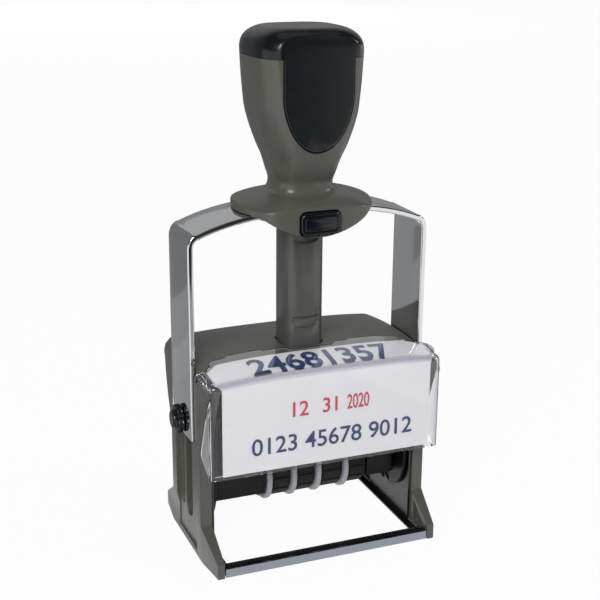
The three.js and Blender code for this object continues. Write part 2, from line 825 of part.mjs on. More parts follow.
// One unbroken wire wound round the guide rod, from the column's top to the cap's plug
function returnSpring() {
  const low = columnTop + fitGap + springWire / 2;
  const high = gripParting + fitGap - capPlugLength - fitGap - springWire / 2;
  const steps = springTurns * springSteps;
  const rings = [];
  const centres = [];
  for (let i = 0; i <= steps; i++) {
    const angle = (2 * Math.PI * i) / springSteps;
    const out = new THREE.Vector3(Math.cos(angle), Math.sin(angle), 0);
    const centre = out.clone().multiplyScalar(springRadius).setZ(low + ((high - low) * i) / steps);
    centres.push(centre);
    const ring = [];
    for (let k = 0; k < springSides; k++) {
      const turn = (2 * Math.PI * k) / springSides;
      const point = centre.clone().addScaledVector(out, -Math.cos(turn) * (springWire / 2));
      ring.push(point.addScaledVector(unitZ, Math.sin(turn) * (springWire / 2)).toArray());
    }
    rings.push(ring);
  }
  let least = Infinity;
  for (let i = 0; i <= steps; i++) {
    for (let j = i + springSteps / 2; j <= steps; j++) {
      least = Math.min(least, centres[i].distanceTo(centres[j]) - springWire);
    }
  }
  console.log("return_spring least gap to itself", least.toFixed(2), "mm");
  return loft(rings);
}

const clampBottom = collarBottom + clampLift;
const screwSeat = collarUnder(screwOffset) + clampLift + screwHeadHeight;

function yokeClamp() {
  const top = x => archHeight(x) - strapThickness - fitGap;
  const points = [];
  for (let i = -arcSteps; i <= arcSteps; i++) {
    const x = (clampHalfLength * i) / arcSteps;
    points.push([x, collarUnder(x) + clampLift]);
  }
  for (let i = arcSteps; i >= -arcSteps; i--) {
    const x = (clampHalfLength * i) / arcSteps;
    points.push([x, top(x)]);
  }
  const half = strapHalf - clampSideGap;
  const seat = screwSeat - fitGap;
  return cut(
    alongY(points, -half, half),
    squarePost(boreHalf, clampBottom - cutOver, yokeTop),
    block(
      -latchHalf - fitGap, latchHalf + fitGap, -half - cutOver, -boreHalf + cutOver,
      latchBottom - fitGap, latchBottom + latchThickness + fitGap,
    ),
    ...[-1, 1].flatMap(side => [
      screwHole(side, clampBottom - cutOver, yokeTop),
      alongZ(
        circle(side * screwOffset, 0, screwHeadRadius + fitGap), clampBottom - cutOver, seat + fitGap,
      ),
    ]),
  );
}

function clampScrew(side) {
  const x = side * screwOffset;
  const seat = screwSeat - fitGap;
  return cut(
    join(
      alongZ(circle(x, 0, screwHeadRadius), seat - screwHeadHeight, seat),
      alongZ(circle(x, 0, screwRadius), seat - screwHeadHeight / 2, yokeTop + screwReach),
    ),
    block(
      x - screwHeadRadius, x + screwHeadRadius, -fitGap, fitGap,
      seat - screwHeadHeight - cutOver, seat - screwHeadHeight / 2,
    ),
  );
}

function lockButton() {
  const front = -collarHalfDepth - buttonProud;
  const tip = -columnHalf - latchStandoff;
  return join(
    alongY(buttonOutline(0), front, front + buttonThickness),
    block(-latchHalf, latchHalf, front + buttonThickness / 2, tip, latchBottom, latchBottom + latchThickness),
  );
}

const nutInner = yokeHalf + fitGap;
const nutOuter = nutInner + nutThickness + nutCapThickness;

function mainAxle() {
  const end = nutOuter - nutCapThickness / 2 - fitGap;
  return rodX(axleRadius, -end, end, axleHeight);
}

function axleBush(side) {
  const ends = [camPlateInner + fitGap, legInner - fitGap].map(x => x * side).sort((a, b) => a - b);
  const sleeve = rodX(bushRadius, ...ends, axleHeight);
  return cut(sleeve, rodX(axleRadius + fitGap, ends[0] - cutOver, ends[1] + cutOver, axleHeight));
}

function axleNut(side) {
  const span = (a, b) => [side * a, side * b].sort((p, q) => p - q);
  const outline = toothed(axleHeight, nutRadius, nutRibs, nutRibShare);
  const ring = alongX(outline, ...span(nutInner, nutInner + nutThickness));
  const cap = rodX(nutCapRadius, ...span(nutInner + nutThickness / 2, nutOuter), axleHeight);
  const holeEnd = nutOuter - nutCapThickness / 2;
  const hole = rodX(axleRadius + fitGap, ...span(nutInner - cutOver, holeEnd), axleHeight);
  return cut(join(ring, cap), hole);
}

function rail(side) {
  const half = wallInner - fitGap;
  const ends = (a, b) => [side * a, side * b].sort((p, q) => p - q);
  const middle = railFace - railDepth / 2;
  const bar = block(-half, half, ...ends(railFace - railDepth, railFace), railBottom, railTop);
  const grooveHalf = stripWidth / 2 + fitGap;
  const groove = block(
    -half - cutOver, half + cutOver, ...ends(middle - grooveHalf, middle + grooveHalf),
    railTop - stripDepth - fitGap, railTop + cutOver,
  );
  const grooved = cut(bar, groove);
  if (side < 0) return grooved;
  const wallFace = railFace - railDepth;
  const wallEnd = half - rearWallInset;
  return join(
    grooved,
    block(-wallEnd, wallEnd, wallFace, wallFace + rearWallThickness, railBottom, rearWallTop),
  );
}

function railStrip(side) {
  const half = wallInner - fitGap;
  const middle = side * (railFace - railDepth / 2);
  const top = railTop + fitGap / 2;
  return block(-half, half, middle - stripWidth / 2, middle + stripWidth / 2, railTop - stripDepth, top);
}

function slotCut(x0, x1) {
  return alongX(uprightSlot(0, slotHalf, axleLow, axleHeight), x0 - cutOver, x1 + cutOver);
}

function sidePlate(side) {
  const [x0, x1] = [side * sidePlateInner, side * sidePlateOuter].sort((a, b) => a - b);
  const [f0, f1] = [side * (sidePlateOuter - flangeWidth), side * sidePlateOuter].sort((a, b) => a - b);
  const web = block(x0, x1, -sidePlateHalf, sidePlateHalf, sidePlateBottom, platesTop);
  const flangeTop = sidePlateBottom + sidePlateThickness;
  const flange = block(f0, f1, -flangeHalf, flangeHalf, sidePlateBottom, flangeTop);
  return cut(join(web, flange), slotCut(x0, x1));
}

function camPlate(side) {
  const [x0, x1] = [side * camPlateInner, side * camPlateOuter].sort((a, b) => a - b);
  const drop = camPlateShoulder - camPlateTip;
  const right = [[camPlateHalf, platesTop], [camPlateHalf, camPlateShoulder]];
  for (const [wide, high] of camPlateShares) right.push([camPlateHalf * wide, camPlateTip + drop * high]);
  const left = right.map(([y, z]) => [-y, z]).reverse();
  return cut(alongX([...right, ...left], x0, x1), slotCut(x0, x1));
}

// Card: an upright face folded over the roof's front slope
function labelCard() {
  const lower = (x, y) => roofHeight(x, y) + fitGap;
  const upper = (x, y) => lower(x, y) + cardThickness;
  const flap = sheet(-cardFlapHalf, cardFlapHalf, -cardFace, -cardFlapReach, upper, lower);
  const corner = side => alongZ(
    [
      [side * (cardFlapHalf + cutOver), -cardCornerReach],
      [side * cardCornerHalf, -cardFlapReach + cutOver / 2],
      [side * (cardFlapHalf + cutOver), -cardFlapReach + cutOver],
    ],
    cardBottom, roofCrest + cutOver,
  );
  const face = [[-cardHalfWidth, cardBottom], [cardHalfWidth, cardBottom]];
  for (let i = arcSteps; i >= -arcSteps; i--) {
    const x = (cardHalfWidth * i) / arcSteps;
    face.push([x, lower(x, -cardFace) + cardThickness / 2]);
  }
  return join(alongY(face, -cardFace, -cardFace + cardThickness), cut(flap, corner(1), corner(-1)));
}

// Cover: front wall, side walls that follow the housing's flare, top flap and bottom lip
function clearCover() {
  const lower = (x, y) => roofHeight(x, y) + fitGap * 2 + cardThickness;
  const upper = (x, y) => lower(x, y) + coverThickness;
  const flap = sheet(-coverFlapHalf, coverFlapHalf, -coverFace, -coverFlapReach, upper, lower);
  const front = [[-coverHalfWidth, coverBottom], [coverHalfWidth, coverBottom]];
  for (let i = arcSteps; i >= -arcSteps; i--) {
    const x = (coverHalfWidth * i) / arcSteps;
    front.push([x, lower(x, -coverFace) + coverThickness / 2]);
  }
  const past = coverFlapHalf + cutOver;
  const corner = side => alongZ(
    [
      [side * past, -coverCornerReach], [side * coverCornerHalf, -coverCornerReach],
      [side * coverCornerHalf, -coverFlapReach + cutOver], [side * past, -coverFlapReach + cutOver],
    ],
    coverBottom, roofCrest + cutOver * 2,
  );
  const notchFoot = coverNotchHalf * coverNotchShare;
  const columnNotch = alongZ(
    [
      [-coverNotchHalf, -coverFlapReach + cutOver], [coverNotchHalf, -coverFlapReach + cutOver],
      [notchFoot, -coverNotchReach], [-notchFoot, -coverNotchReach],
    ],
    coverBottom, roofCrest + cutOver * 2,
  );
  const shoulderTop = roofHeight(housingHalf, housingFrontReach) - roofThickness;
  const flareRun = (housingFrontReach - postHalf) / (shoulderTop - flareHeight);
  const sideTop = roofHeight(coverHalfWidth, coverFace) + fitGap * 2 + cardThickness;
  const back = coverFace - coverThickness / 2;
  const backTop = flareHeight + (back - fitGap * 2 - postHalf) / flareRun;
  const sides = [1, -1].map(side => {
    const ends = [side * (coverHalfWidth - coverThickness), side * coverHalfWidth].sort((a, b) => a - b);
    return alongX(
      [
        [-coverFace, coverBottom], [-coverFace, sideTop], [-back, sideTop], [-back, backTop],
        [-postHalf - fitGap * 2, flareHeight], [-postHalf - fitGap * 2, coverSideFoot],
        [-coverFace + coverLip, coverBottom],
      ],
      ...ends,
    );
  });
  const lip = cut(
    block(
      -coverHalfWidth, coverHalfWidth, -coverFace, -coverFace + coverLip,
      coverBottom, coverBottom + coverThickness / 2,
    ),
    block(
      -coverLipNotchHalf, coverLipNotchHalf, -coverFace + coverThickness, 0,
      coverBottom - cutOver, coverBottom + coverThickness,
    ),
  );
  return join(
    alongY(front, -coverFace, -coverFace + coverThickness), cut(flap, corner(1), corner(-1), columnNotch),
    ...sides, lip,
  );
}

function padTray() {
  const rimLow = padFace + trayRimInset;
  const flangeOut = trayHalfWidth + trayFlangeWidth;
  return cut(
    join(
      block(-trayHalfWidth, trayHalfWidth, -trayHalfDepth, trayHalfDepth, rimLow, trayTop),
      block(-flangeOut, flangeOut, -trayHalfDepth, trayHalfDepth, flangeUnder, trayTop - fitGap),
      block(
        -trayTabHalf, trayTabHalf, trayHalfDepth - trayWall, trayHalfDepth + trayTabReach,
        flangeUnder, trayTop,
      ),
    ),
    block(
      -padHalfWidth - fitGap, padHalfWidth + fitGap, -padHalfDepth - fitGap, padHalfDepth + fitGap,
      padFace - cutOver, padFace + padThickness + fitGap,
    ),
  );
}

function inkPad() {
  return block(-padHalfWidth, padHalfWidth, -padHalfDepth, padHalfDepth, padFace, padFace + padThickness);
}

function carriageFrame() {
  const halves = [1, -1].flatMap(side => {
    const span = (a, b) => [side * a, side * b].sort((p, q) => p - q);
    const tall = carriageTop - endPlateBottom;
    const right = endPlateShares.map(([wide, high]) => [endPlateHalf * wide, endPlateBottom + tall * high]);
    const left = right.map(([y, z]) => [-y, z]).reverse();
    return [
      alongX([...right, ...left], ...span(endPlateInner, endPlateOuter)),
      block(
        ...span(blockInner, endPlateInner + fitGap), -blockHalfDepth, blockHalfDepth,
        blockBottom, carriageTop,
      ),
      block(
        -blockInner - cutOver, blockInner + cutOver, ...span(barInner, blockHalfDepth),
        carriageTop - barHeight, carriageTop,
      ),
    ];
  });
  const cheek = firstWheel - wheelThickness / 2 - fitGap;
  const shaftBar = block(
    -blockInner - cutOver, cheek - cheekThickness / 2, -blockHalfDepth, blockHalfDepth,
    blockBottom, blockBottom + cheekBarHeight,
  );
  const past = endPlateOuter + cutOver;
  return cut(
    join(...halves, shaftBar, rodX(cheekRadius, cheek - cheekThickness, cheek, wheelHeight)),
    rodX(axleRadius + fitGap, -past, past, axleHeight),
    rodX(wheelAxleRadius + fitGap, -past, past, wheelHeight),
  );
}

const bridgeEnd = blockInner - fitGap;

function diePlate() {
  const slotEnd = bridgeEnd + fitGap * 2;
  return cut(
    block(
      -diePlateHalfWidth, diePlateHalfWidth, -diePlateHalfDepth, diePlateHalfDepth,
      diePlateTop - diePlateThickness, diePlateTop,
    ),
    block(
      -slotEnd, slotEnd, -dieSlotHalf, dieSlotHalf,
      diePlateTop - diePlateThickness - cutOver, diePlateTop + cutOver,
    ),
  );
}

function textDie(side) {
  const ends = [side * (dieSlotHalf + dieEdge), side * (diePlateHalfDepth - dieEdge)].sort((a, b) => a - b);
  return block(-dieHalfWidth, dieHalfWidth, ...ends, dieFace - dieThickness, dieFace);
}

function bandBridge() {
  return rodX(bridgeRadius, -bridgeEnd, bridgeEnd, bridgeHeight);
}

function wheelAxle() {
  return rodX(wheelAxleRadius, -endPlateOuter, endPlateOuter, wheelHeight);
}

// Belt outline round the drum and the bridge
function beltOutline(drum, bridge) {
  const tilt = Math.asin((drum - bridge) / (bridgeHeight - wheelHeight));
  const points = [];
  for (let i = 0; i <= roundSides / 2; i++) {
    const angle = tilt + ((Math.PI - 2 * tilt) * i) / (roundSides / 2);
    points.push([bridge * Math.cos(angle), bridgeHeight + bridge * Math.sin(angle)]);
  }
  for (let i = 0; i <= roundSides / 2; i++) {
    const angle = Math.PI - tilt + ((Math.PI + 2 * tilt) * i) / (roundSides / 2);
    points.push([drum * Math.cos(angle), wheelHeight + drum * Math.sin(angle)]);
  }
  return points;
}

function dateBand(hub) {
  const start = wheelThickness / 2 + bandEndGap;
  const end = wheelThickness / 2 + hub - bandEndGap / 2;
  const drumGap = drumRadius + fitGap;
  const bridgeGap = bridgeRadius + fitGap;
  return cut(
    alongX(beltOutline(drumGap + bandThickness, bridgeGap + bandThickness), start, end),
    alongX(beltOutline(drumGap, bridgeGap), start - cutOver, end + cutOver),
  );
}

function thumbWheel(hub) {
  const half = wheelThickness / 2;
  return cut(
    join(
      alongX(toothed(wheelHeight, wheelRadius, wheelTeeth, wheelToothShare), -half, half),
      rodX(drumRadius, 0, half + hub, wheelHeight, drumSides),
    ),
    rodX(wheelAxleRadius + fitGap, -half - cutOver, half + hub + cutOver, wheelHeight),
  );
}

const stamp = new THREE.Group();

function add(name, piece, material, x = 0) {
  const { vertProperties, triVerts } = piece.getMesh();
  const geometry = new THREE.BufferGeometry();
  geometry.setAttribute("position", new THREE.BufferAttribute(vertProperties, 3));
  geometry.setIndex(new THREE.BufferAttribute(triVerts, 1));
  geometry.computeVertexNormals();
  const mesh = new THREE.Mesh(geometry, material);
  mesh.name = name;
  mesh.position.x = x;
  stamp.add(mesh);
}

add("housing", housing(), greyPlastic);
add("column", column(), columnPlastic);
add("front_rail", rail(-1), chromeSteel);
add("rear_rail", rail(1), chromeSteel);
add("front_rail_strip", railStrip(-1), blackPlastic);
add("rear_rail_strip", railStrip(1), blackPlastic);
add("left_side_plate", sidePlate(-1), darkSteel);
add("right_side_plate", sidePlate(1), darkSteel);
add("left_cam_plate", camPlate(-1), blackPlastic);
add("right_cam_plate", camPlate(1), blackPlastic);
add("label_card", labelCard(), whiteCard);
add("clear_cover", clearCover(), clearPlastic);
add("pad_tray", padTray(), blackPlastic);
add("ink_pad", inkPad(), padFoam);

add("yoke", yoke(), chromeSteel);
add("handle", handle(), greyPlastic);
add("handle_cap", handleCap(), blackPlastic);
add("guide_rod", guideRod(), darkSteel);
add("return_spring", returnSpring(), darkSteel);
add("yoke_clamp", yokeClamp(), greyPlastic);
add("left_clamp_screw", clampScrew(-1), darkSteel);
add("right_clamp_screw", clampScrew(1), darkSteel);
add("main_axle", mainAxle(), darkSteel);
add("left_axle_bush", axleBush(-1), blackPlastic);
add("right_axle_bush", axleBush(1), blackPlastic);
add("left_axle_nut", axleNut(-1), blackPlastic);
add("right_axle_nut", axleNut(1), blackPlastic);
add("lock_button", lockButton(), blackPlastic);

add("carriage_frame", carriageFrame(), blackPlastic);
add("die_plate", diePlate(), blackPlastic);
add("front_text_die", textDie(-1), blackRubber);
add("rear_text_die", textDie(1), blackRubber);
add("band_bridge", bandBridge(), darkSteel);
add("wheel_axle", wheelAxle(), darkSteel);

["month", "tens", "units", "year"].forEach((name, i) => {
  const x = name === "year" ? yearWheel : firstWheel + wheelPitch * i;
  const hub = name === "units" ? yearPitch - wheelThickness - fitGap : hubLength;
  add(`${name}_band`, dateBand(hub), blackRubber, x);
  add(`${name}_wheel`, thumbWheel(hub), wheelPlastic, x);
});

export default stamp;
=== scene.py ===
# Self-inking date stamp: the fine surfaces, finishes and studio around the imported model.
# Shapes are worked out in millimetres and scaled to metres as each piece is finished.
import math

import bmesh
import bpy
from mathutils import Matrix, Vector


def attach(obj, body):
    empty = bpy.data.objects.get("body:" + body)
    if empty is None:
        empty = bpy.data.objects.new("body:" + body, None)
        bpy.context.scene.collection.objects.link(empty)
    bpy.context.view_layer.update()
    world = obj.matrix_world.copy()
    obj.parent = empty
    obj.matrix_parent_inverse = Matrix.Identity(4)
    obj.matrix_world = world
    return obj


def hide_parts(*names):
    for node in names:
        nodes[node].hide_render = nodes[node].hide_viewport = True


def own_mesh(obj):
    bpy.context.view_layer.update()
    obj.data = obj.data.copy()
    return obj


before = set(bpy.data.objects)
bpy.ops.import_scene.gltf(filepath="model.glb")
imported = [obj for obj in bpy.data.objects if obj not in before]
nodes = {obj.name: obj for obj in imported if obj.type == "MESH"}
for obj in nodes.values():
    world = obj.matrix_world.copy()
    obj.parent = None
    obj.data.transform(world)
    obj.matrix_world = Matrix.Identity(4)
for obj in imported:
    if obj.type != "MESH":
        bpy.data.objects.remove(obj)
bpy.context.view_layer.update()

MM = 0.001
TAU = 2 * math.pi

# Grip and cap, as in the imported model
GRIP_HALF = 18.9
GRIP_FLAT = 16.4
GRIP_FOOT = 125.4
PARTING = 172.8
GRIP_TOP = 182.3
CORNER_POWER = 3.3
GRIP_SHARES = [
    (0, 0.575, 0.58), (0.11, 0.534, 0.561), (0.18, 0.577, 0.635), (0.28, 0.64, 0.746),
    (0.357, 0.72, 0.83), (0.43, 0.783, 0.895), (0.52, 0.857, 0.942), (0.62, 0.921, 0.968),
    (0.73, 0.952, 0.984), (0.84, 0.976, 0.995), (1, 1, 1),
]
CAP_SHARES = [
    (0, 1), (0.28, 1), (0.5, 0.975), (0.68, 0.92), (0.82, 0.838), (0.92, 0.74), (0.98, 0.63), (1, 0.5),
]
TONGUE_HALF = 12.3
TONGUE_TIP = 142.0
TONGUE_ROUND = 18.0
TONGUE_POWER = 1.7
TONGUE_BACK = 14.9
PANEL_HALF = 13.9
PROUD = 0.35
GAP = 0.3
SEAM = 0.12

# Collar
COLLAR_LONG = 24.0
COLLAR_DEEP = 18.8
COLLAR_POWER = 2.3
COLLAR_TOP = 127.4
COLLAR_CROWN = 3.0
CROWN_POWER = 3.4
CORNER_DROOP = 0.9
COLLAR_LOW = 114.0
COLLAR_ARCH = 11.0
COLLAR_RIM = 3.2
LATCH_LOW = 115.2
LATCH = 1.7
PRESS_TRAVEL = 34.6
NOTCH_HALF = 4.8
NOTCH_ROUND = 2.4

# Yoke
YOKE_HALF = 44.0
YOKE_TOP = 122.7
YOKE_FALL = 6.0
YOKE_POWER = 2.75
YOKE_CORNER = 3.6
YOKE_CORNER_DROP = 5.4
STRAP = 2.0
STRAP_HALF = 11.15
LEG_LOW = 43.5

# Axle, wheels and bands
AXLE_UP = 48.3
WHEEL_UP = 22.7
WHEEL_RADIUS = 9.9
WHEEL_HALF = 0.9
DRUM_RADIUS = 7.4
BRIDGE_UP = 56.6
BRIDGE_RADIUS = 2.6
WHEELS = {"month": (-14.25, 7.4), "tens": (-4.75, 7.4), "units": (4.75, 8.7), "year": (15.55, 7.4)}

# Roof
ROOF_CREST = 72.4
HOUSING_HALF = 42.9
ROOF_EDGE = 29.3


# Solids


def formed(columns, rows, place, closed=True):
    """A skin on a grid: place(column, row) gives each point, and open ends are closed."""
    bm = bmesh.new()
    bmesh.ops.create_grid(bm, x_segments=columns, y_segments=rows, size=1)
    for vert in bm.verts:
        column = round((vert.co.x + 1) / 2 * columns)
        row = round((vert.co.y + 1) / 2 * rows)
        vert.co = place(column, row)
    bmesh.ops.remove_doubles(bm, verts=bm.verts[:], dist=0.0005)
    if closed:
        bmesh.ops.holes_fill(bm, edges=bm.edges[:], sides=0)
    bmesh.ops.recalc_face_normals(bm, faces=bm.faces[:])
    return bm


def prism(outline, low, high, axis):
    """An outline across one axis, pushed out along it from low to high."""
    bm = bmesh.new()
    lay = {"x": lambda a, b: (low, a, b), "y": lambda a, b: (a, low, b), "z": lambda a, b: (a, b, low)}[axis]
    step = {"x": (high - low, 0, 0), "y": (0, high - low, 0), "z": (0, 0, high - low)}[axis]
    face = bm.faces.new([bm.verts.new(lay(a, b)) for a, b in outline])
    pushed = bmesh.ops.extrude_face_region(bm, geom=[face])["geom"]
    bmesh.ops.translate(bm, verts=[g for g in pushed if isinstance(g, bmesh.types.BMVert)], vec=step)
    bmesh.ops.holes_fill(bm, edges=bm.edges[:], sides=0)
    bmesh.ops.recalc_face_normals(bm, faces=bm.faces[:])
    return bm


def box(x0, x1, y0, y1, z0, z1):
    bm = bmesh.new()
    bmesh.ops.create_cube(bm, size=1)
    bmesh.ops.scale(bm, vec=(x1 - x0, y1 - y0, z1 - z0), verts=bm.verts[:])
    bmesh.ops.translate(bm, vec=((x0 + x1) / 2, (y0 + y1) / 2, (z0 + z1) / 2), verts=bm.verts[:])
    return bm


def turned(profile, height, steps=64, x=0.0):
    """Profile points (along X, radius) spun about a line along X at a height."""
    bm = bmesh.new()
    verts = [bm.verts.new((x + a, 0, height + r)) for a, r in profile]
    edges = [bm.edges.new(pair) for pair in zip(verts, verts[1:])]
    bmesh.ops.spin(
        bm, geom=verts + edges, cent=(x, 0, height), axis=(1, 0, 0), dvec=(0, 0, 0),
        angle=TAU, steps=steps, use_merge=True, use_duplicate=False,
    )
    bmesh.ops.remove_doubles(bm, verts=bm.verts[:], dist=0.0005)
    bmesh.ops.holes_fill(bm, edges=bm.edges[:], sides=0)
    bmesh.ops.recalc_face_normals(bm, faces=bm.faces[:])
    return bm


def scratch_object(bm):
    mesh = bpy.data.meshes.new("scratch")
    bm.to_mesh(mesh)
    bm.free()
    thing = bpy.data.objects.new("scratch", mesh)
    bpy.context.scene.collection.objects.link(thing)
    return thing


def carved(bm, *cutters, operation="DIFFERENCE"):
    """The solid after each cutter is taken out of it, joined to it or kept in common with it."""
    body = scratch_object(bm)
    tools = [scratch_object(cutter) for cutter in cutters]
    for tool in tools:
        step = body.modifiers.new("step", "BOOLEAN")
        step.operation = operation
        step.solver = "EXACT"
        step.object = tool
    bpy.context.view_layer.update()
    shaped = body.evaluated_get(bpy.context.evaluated_depsgraph_get())
    mesh = bpy.data.meshes.new_from_object(shaped)
    out = bmesh.new()
    out.from_mesh(mesh)
    bmesh.ops.remove_doubles(out, verts=out.verts[:], dist=0.002)
    for thing in [body, *tools]:
        old = thing.data
        bpy.data.objects.remove(thing)
        bpy.data.meshes.remove(old)
    bpy.data.meshes.remove(mesh)
    return out


def joined(*parts):
    """Separate closed shells as one piece."""
    whole = parts[0]
    for part in parts[1:]:
        mesh = bpy.data.meshes.new("scratch")
        part.to_mesh(mesh)
        part.free()
        whole.from_mesh(mesh)
        bpy.data.meshes.remove(mesh)
    return whole


def eased(bm, width, segments=3, angle=30, where=None):
    """Rounds the sharp edges."""
    sharp = [
        edge for edge in bm.edges
        if edge.is_manifold and edge.calc_face_angle(0) > math.radians(angle) and (where is None or where(edge))
    ]
    bmesh.ops.bevel(
        bm, geom=sharp, offset=width, offset_type="OFFSET", segments=segments, profile=0.5,
        affect="EDGES", clamp_overlap=True, material=-1,
    )
    return bm


def piece(name, bm, material, body, stands_for=(), angle=32):
    """Closes a finished solid, scales it to metres and makes it an object that rides on a body."""
    alone = [face for face in bm.faces if all(edge.is_boundary for edge in face.edges)]
    bmesh.ops.delete(bm, geom=alone, context="FACES")
    stray = [vert for vert in bm.verts if not vert.link_faces]
    bmesh.ops.delete(bm, geom=stray, context="VERTS")
    bmesh.ops.holes_fill(bm, edges=[edge for edge in bm.edges if edge.is_boundary], sides=6)
    bmesh.ops.scale(bm, vec=(MM, MM, MM), verts=bm.verts[:])
    mesh = bpy.data.meshes.new(name)
    bm.to_mesh(mesh)
    bm.free()
    mesh.shade_smooth()
    mesh.set_sharp_from_angle(angle=math.radians(angle))
    mesh.materials.append(material)
    thing = bpy.data.objects.new(name, mesh)
    bpy.context.scene.collection.objects.link(thing)
    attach(thing, body)
    if stands_for:
        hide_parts(*stands_for)
    return thing


def softened(node, material, width, segments=2, angle=28):
    """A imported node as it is, with its edges rounded and a finish."""
    thing = nodes[node]
    mesh = thing.data
    if "custom_normal" in mesh.attributes:
        mesh.attributes.remove(mesh.attributes["custom_normal"])
    mesh.shade_smooth()
    mesh.materials.clear()
    mesh.materials.append(material)
    weld = thing.modifiers.new("merged", "WELD")
    weld.merge_threshold = 0.00001
    flat = thing.modifiers.new("flat faces", "DECIMATE")
    flat.decimate_type = "DISSOLVE"
    flat.angle_limit = math.radians(0.4)
    edge = thing.modifiers.new("edges", "BEVEL")
    edge.width = width * MM
    edge.segments = segments
    edge.limit_method = "ANGLE"
    edge.angle_limit = math.radians(angle)
    edge.use_clamp_overlap = False
    edge.harden_normals = True
    return thing


def along(table, level):
    """Smooth curve through a table of rows, each a level and what holds there."""
    spots = [row[0] for row in table]
    i = max(0, min(len(table) - 2, sum(1 for spot in spots if spot <= level) - 1))
    run = spots[i + 1] - spots[i]
    t = (level - spots[i]) / run
    values = []
    for k in range(1, len(table[0])):
        def slope(j):
            a, b = max(0, j - 1), min(len(table) - 1, j + 1)
            return (table[b][k] - table[a][k]) / (spots[b] - spots[a])
        y0, y1 = table[i][k], table[i + 1][k]
        values.append(
            (2 * t**3 - 3 * t**2 + 1) * y0 + (t**3 - 2 * t**2 + t) * run * slope(i)
            + (3 * t**2 - 2 * t**3) * y1 + (t**3 - t**2) * run * slope(i + 1)
        )
    return values


def squircle(angle, long, deep, power, flat=1e9):
    """Distance from the middle to a rounded square's edge, pulled flat in front and behind."""
    c, s = abs(math.cos(angle)), abs(math.sin(angle))
    reach = ((c / long) ** power + (s / deep) ** power) ** (-1 / power)
    return min(reach, flat / s) if s > 1e-6 else reach


def smooth_step(low, high, value):
    t = max(0.0, min(1.0, (value - low) / (high - low)))
    return t * t * (3 - 2 * t)


# Node trees


def put(tree, kind, **inputs):
    node = tree.nodes.new(kind)
    for name, value in inputs.items():
        name = name.replace("_", " ")
        if name in node.inputs:
            node.inputs[name].default_value = value
        else:
            setattr(node, name.replace(" ", "_"), value)
    return node


def wire(tree, out, into):
    tree.links.new(out, into)


def sums(tree, operation, a, b):
    node = tree.nodes.new("ShaderNodeMath")
    node.operation = operation
    for socket, value in zip(node.inputs, (a, b)):
        if isinstance(value, (int, float)):
            socket.default_value = value
        else:
            wire(tree, value, socket)
    return node.outputs[0]


def new_group(name, inputs, outputs):
    group = bpy.data.node_groups.new(name, "ShaderNodeTree")
    for label, kind, value in inputs:
        socket = group.interface.new_socket(name=label, in_out="INPUT", socket_type=kind)
        if value is not None:
            socket.default_value = value
    for label, kind in outputs:
        group.interface.new_socket(name=label, in_out="OUTPUT", socket_type=kind)
    return group, group.nodes.new("NodeGroupInput"), group.nodes.new("NodeGroupOutput")


FLOAT, COLOUR, VECTOR = "NodeSocketFloat", "NodeSocketColor", "NodeSocketVector"


def surface_group():
    """Slow tone drift, fine grain and uneven gloss of a moulded or painted skin."""
    group, given, out = new_group(
        "skin_variation",
        [
            ("Place", VECTOR, None), ("Colour", COLOUR, (0.5, 0.5, 0.5, 1)), ("Drift", FLOAT, 0.05),
            ("Drift Scale", FLOAT, 60.0), ("Grain Scale", FLOAT, 2400.0), ("Roughness", FLOAT, 0.5),
            ("Gloss Spread", FLOAT, 0.1),
        ],
        [("Colour", COLOUR), ("Roughness", FLOAT), ("Height", FLOAT)],
    )
    slow = put(group, "ShaderNodeTexNoise", Detail=4.0, Roughness=0.55)
    fine = put(group, "ShaderNodeTexNoise", Detail=3.0, Roughness=0.6)
    gloss = put(group, "ShaderNodeTexNoise", Scale=210.0, Detail=4.0, Roughness=0.6)
    for noise in (slow, fine, gloss):
        wire(group, given.outputs["Place"], noise.inputs["Vector"])
    wire(group, given.outputs["Drift Scale"], slow.inputs["Scale"])
    wire(group, given.outputs["Grain Scale"], fine.inputs["Scale"])
    tone = sums(group, "SUBTRACT", slow.outputs[0], 0.5)
    tone = sums(group, "MULTIPLY", tone, given.outputs["Drift"])
    speck = sums(group, "MULTIPLY", sums(group, "SUBTRACT", fine.outputs[0], 0.5), given.outputs["Drift"])
    factor = sums(group, "ADD", sums(group, "ADD", tone, speck), 1.0)
    tint = put(group, "ShaderNodeVectorMath", operation="SCALE")
    wire(group, given.outputs["Colour"], tint.inputs[0])
    wire(group, factor, tint.inputs["Scale"])
    wire(group, tint.outputs[0], out.inputs["Colour"])
    rough = sums(group, "MULTIPLY", sums(group, "SUBTRACT", gloss.outputs[0], 0.5), given.outputs["Gloss Spread"])
    wire(group, sums(group, "ADD", rough, given.outputs["Roughness"]), out.inputs["Roughness"])
    wire(group, fine.outputs[0], out.inputs["Height"])
    return group


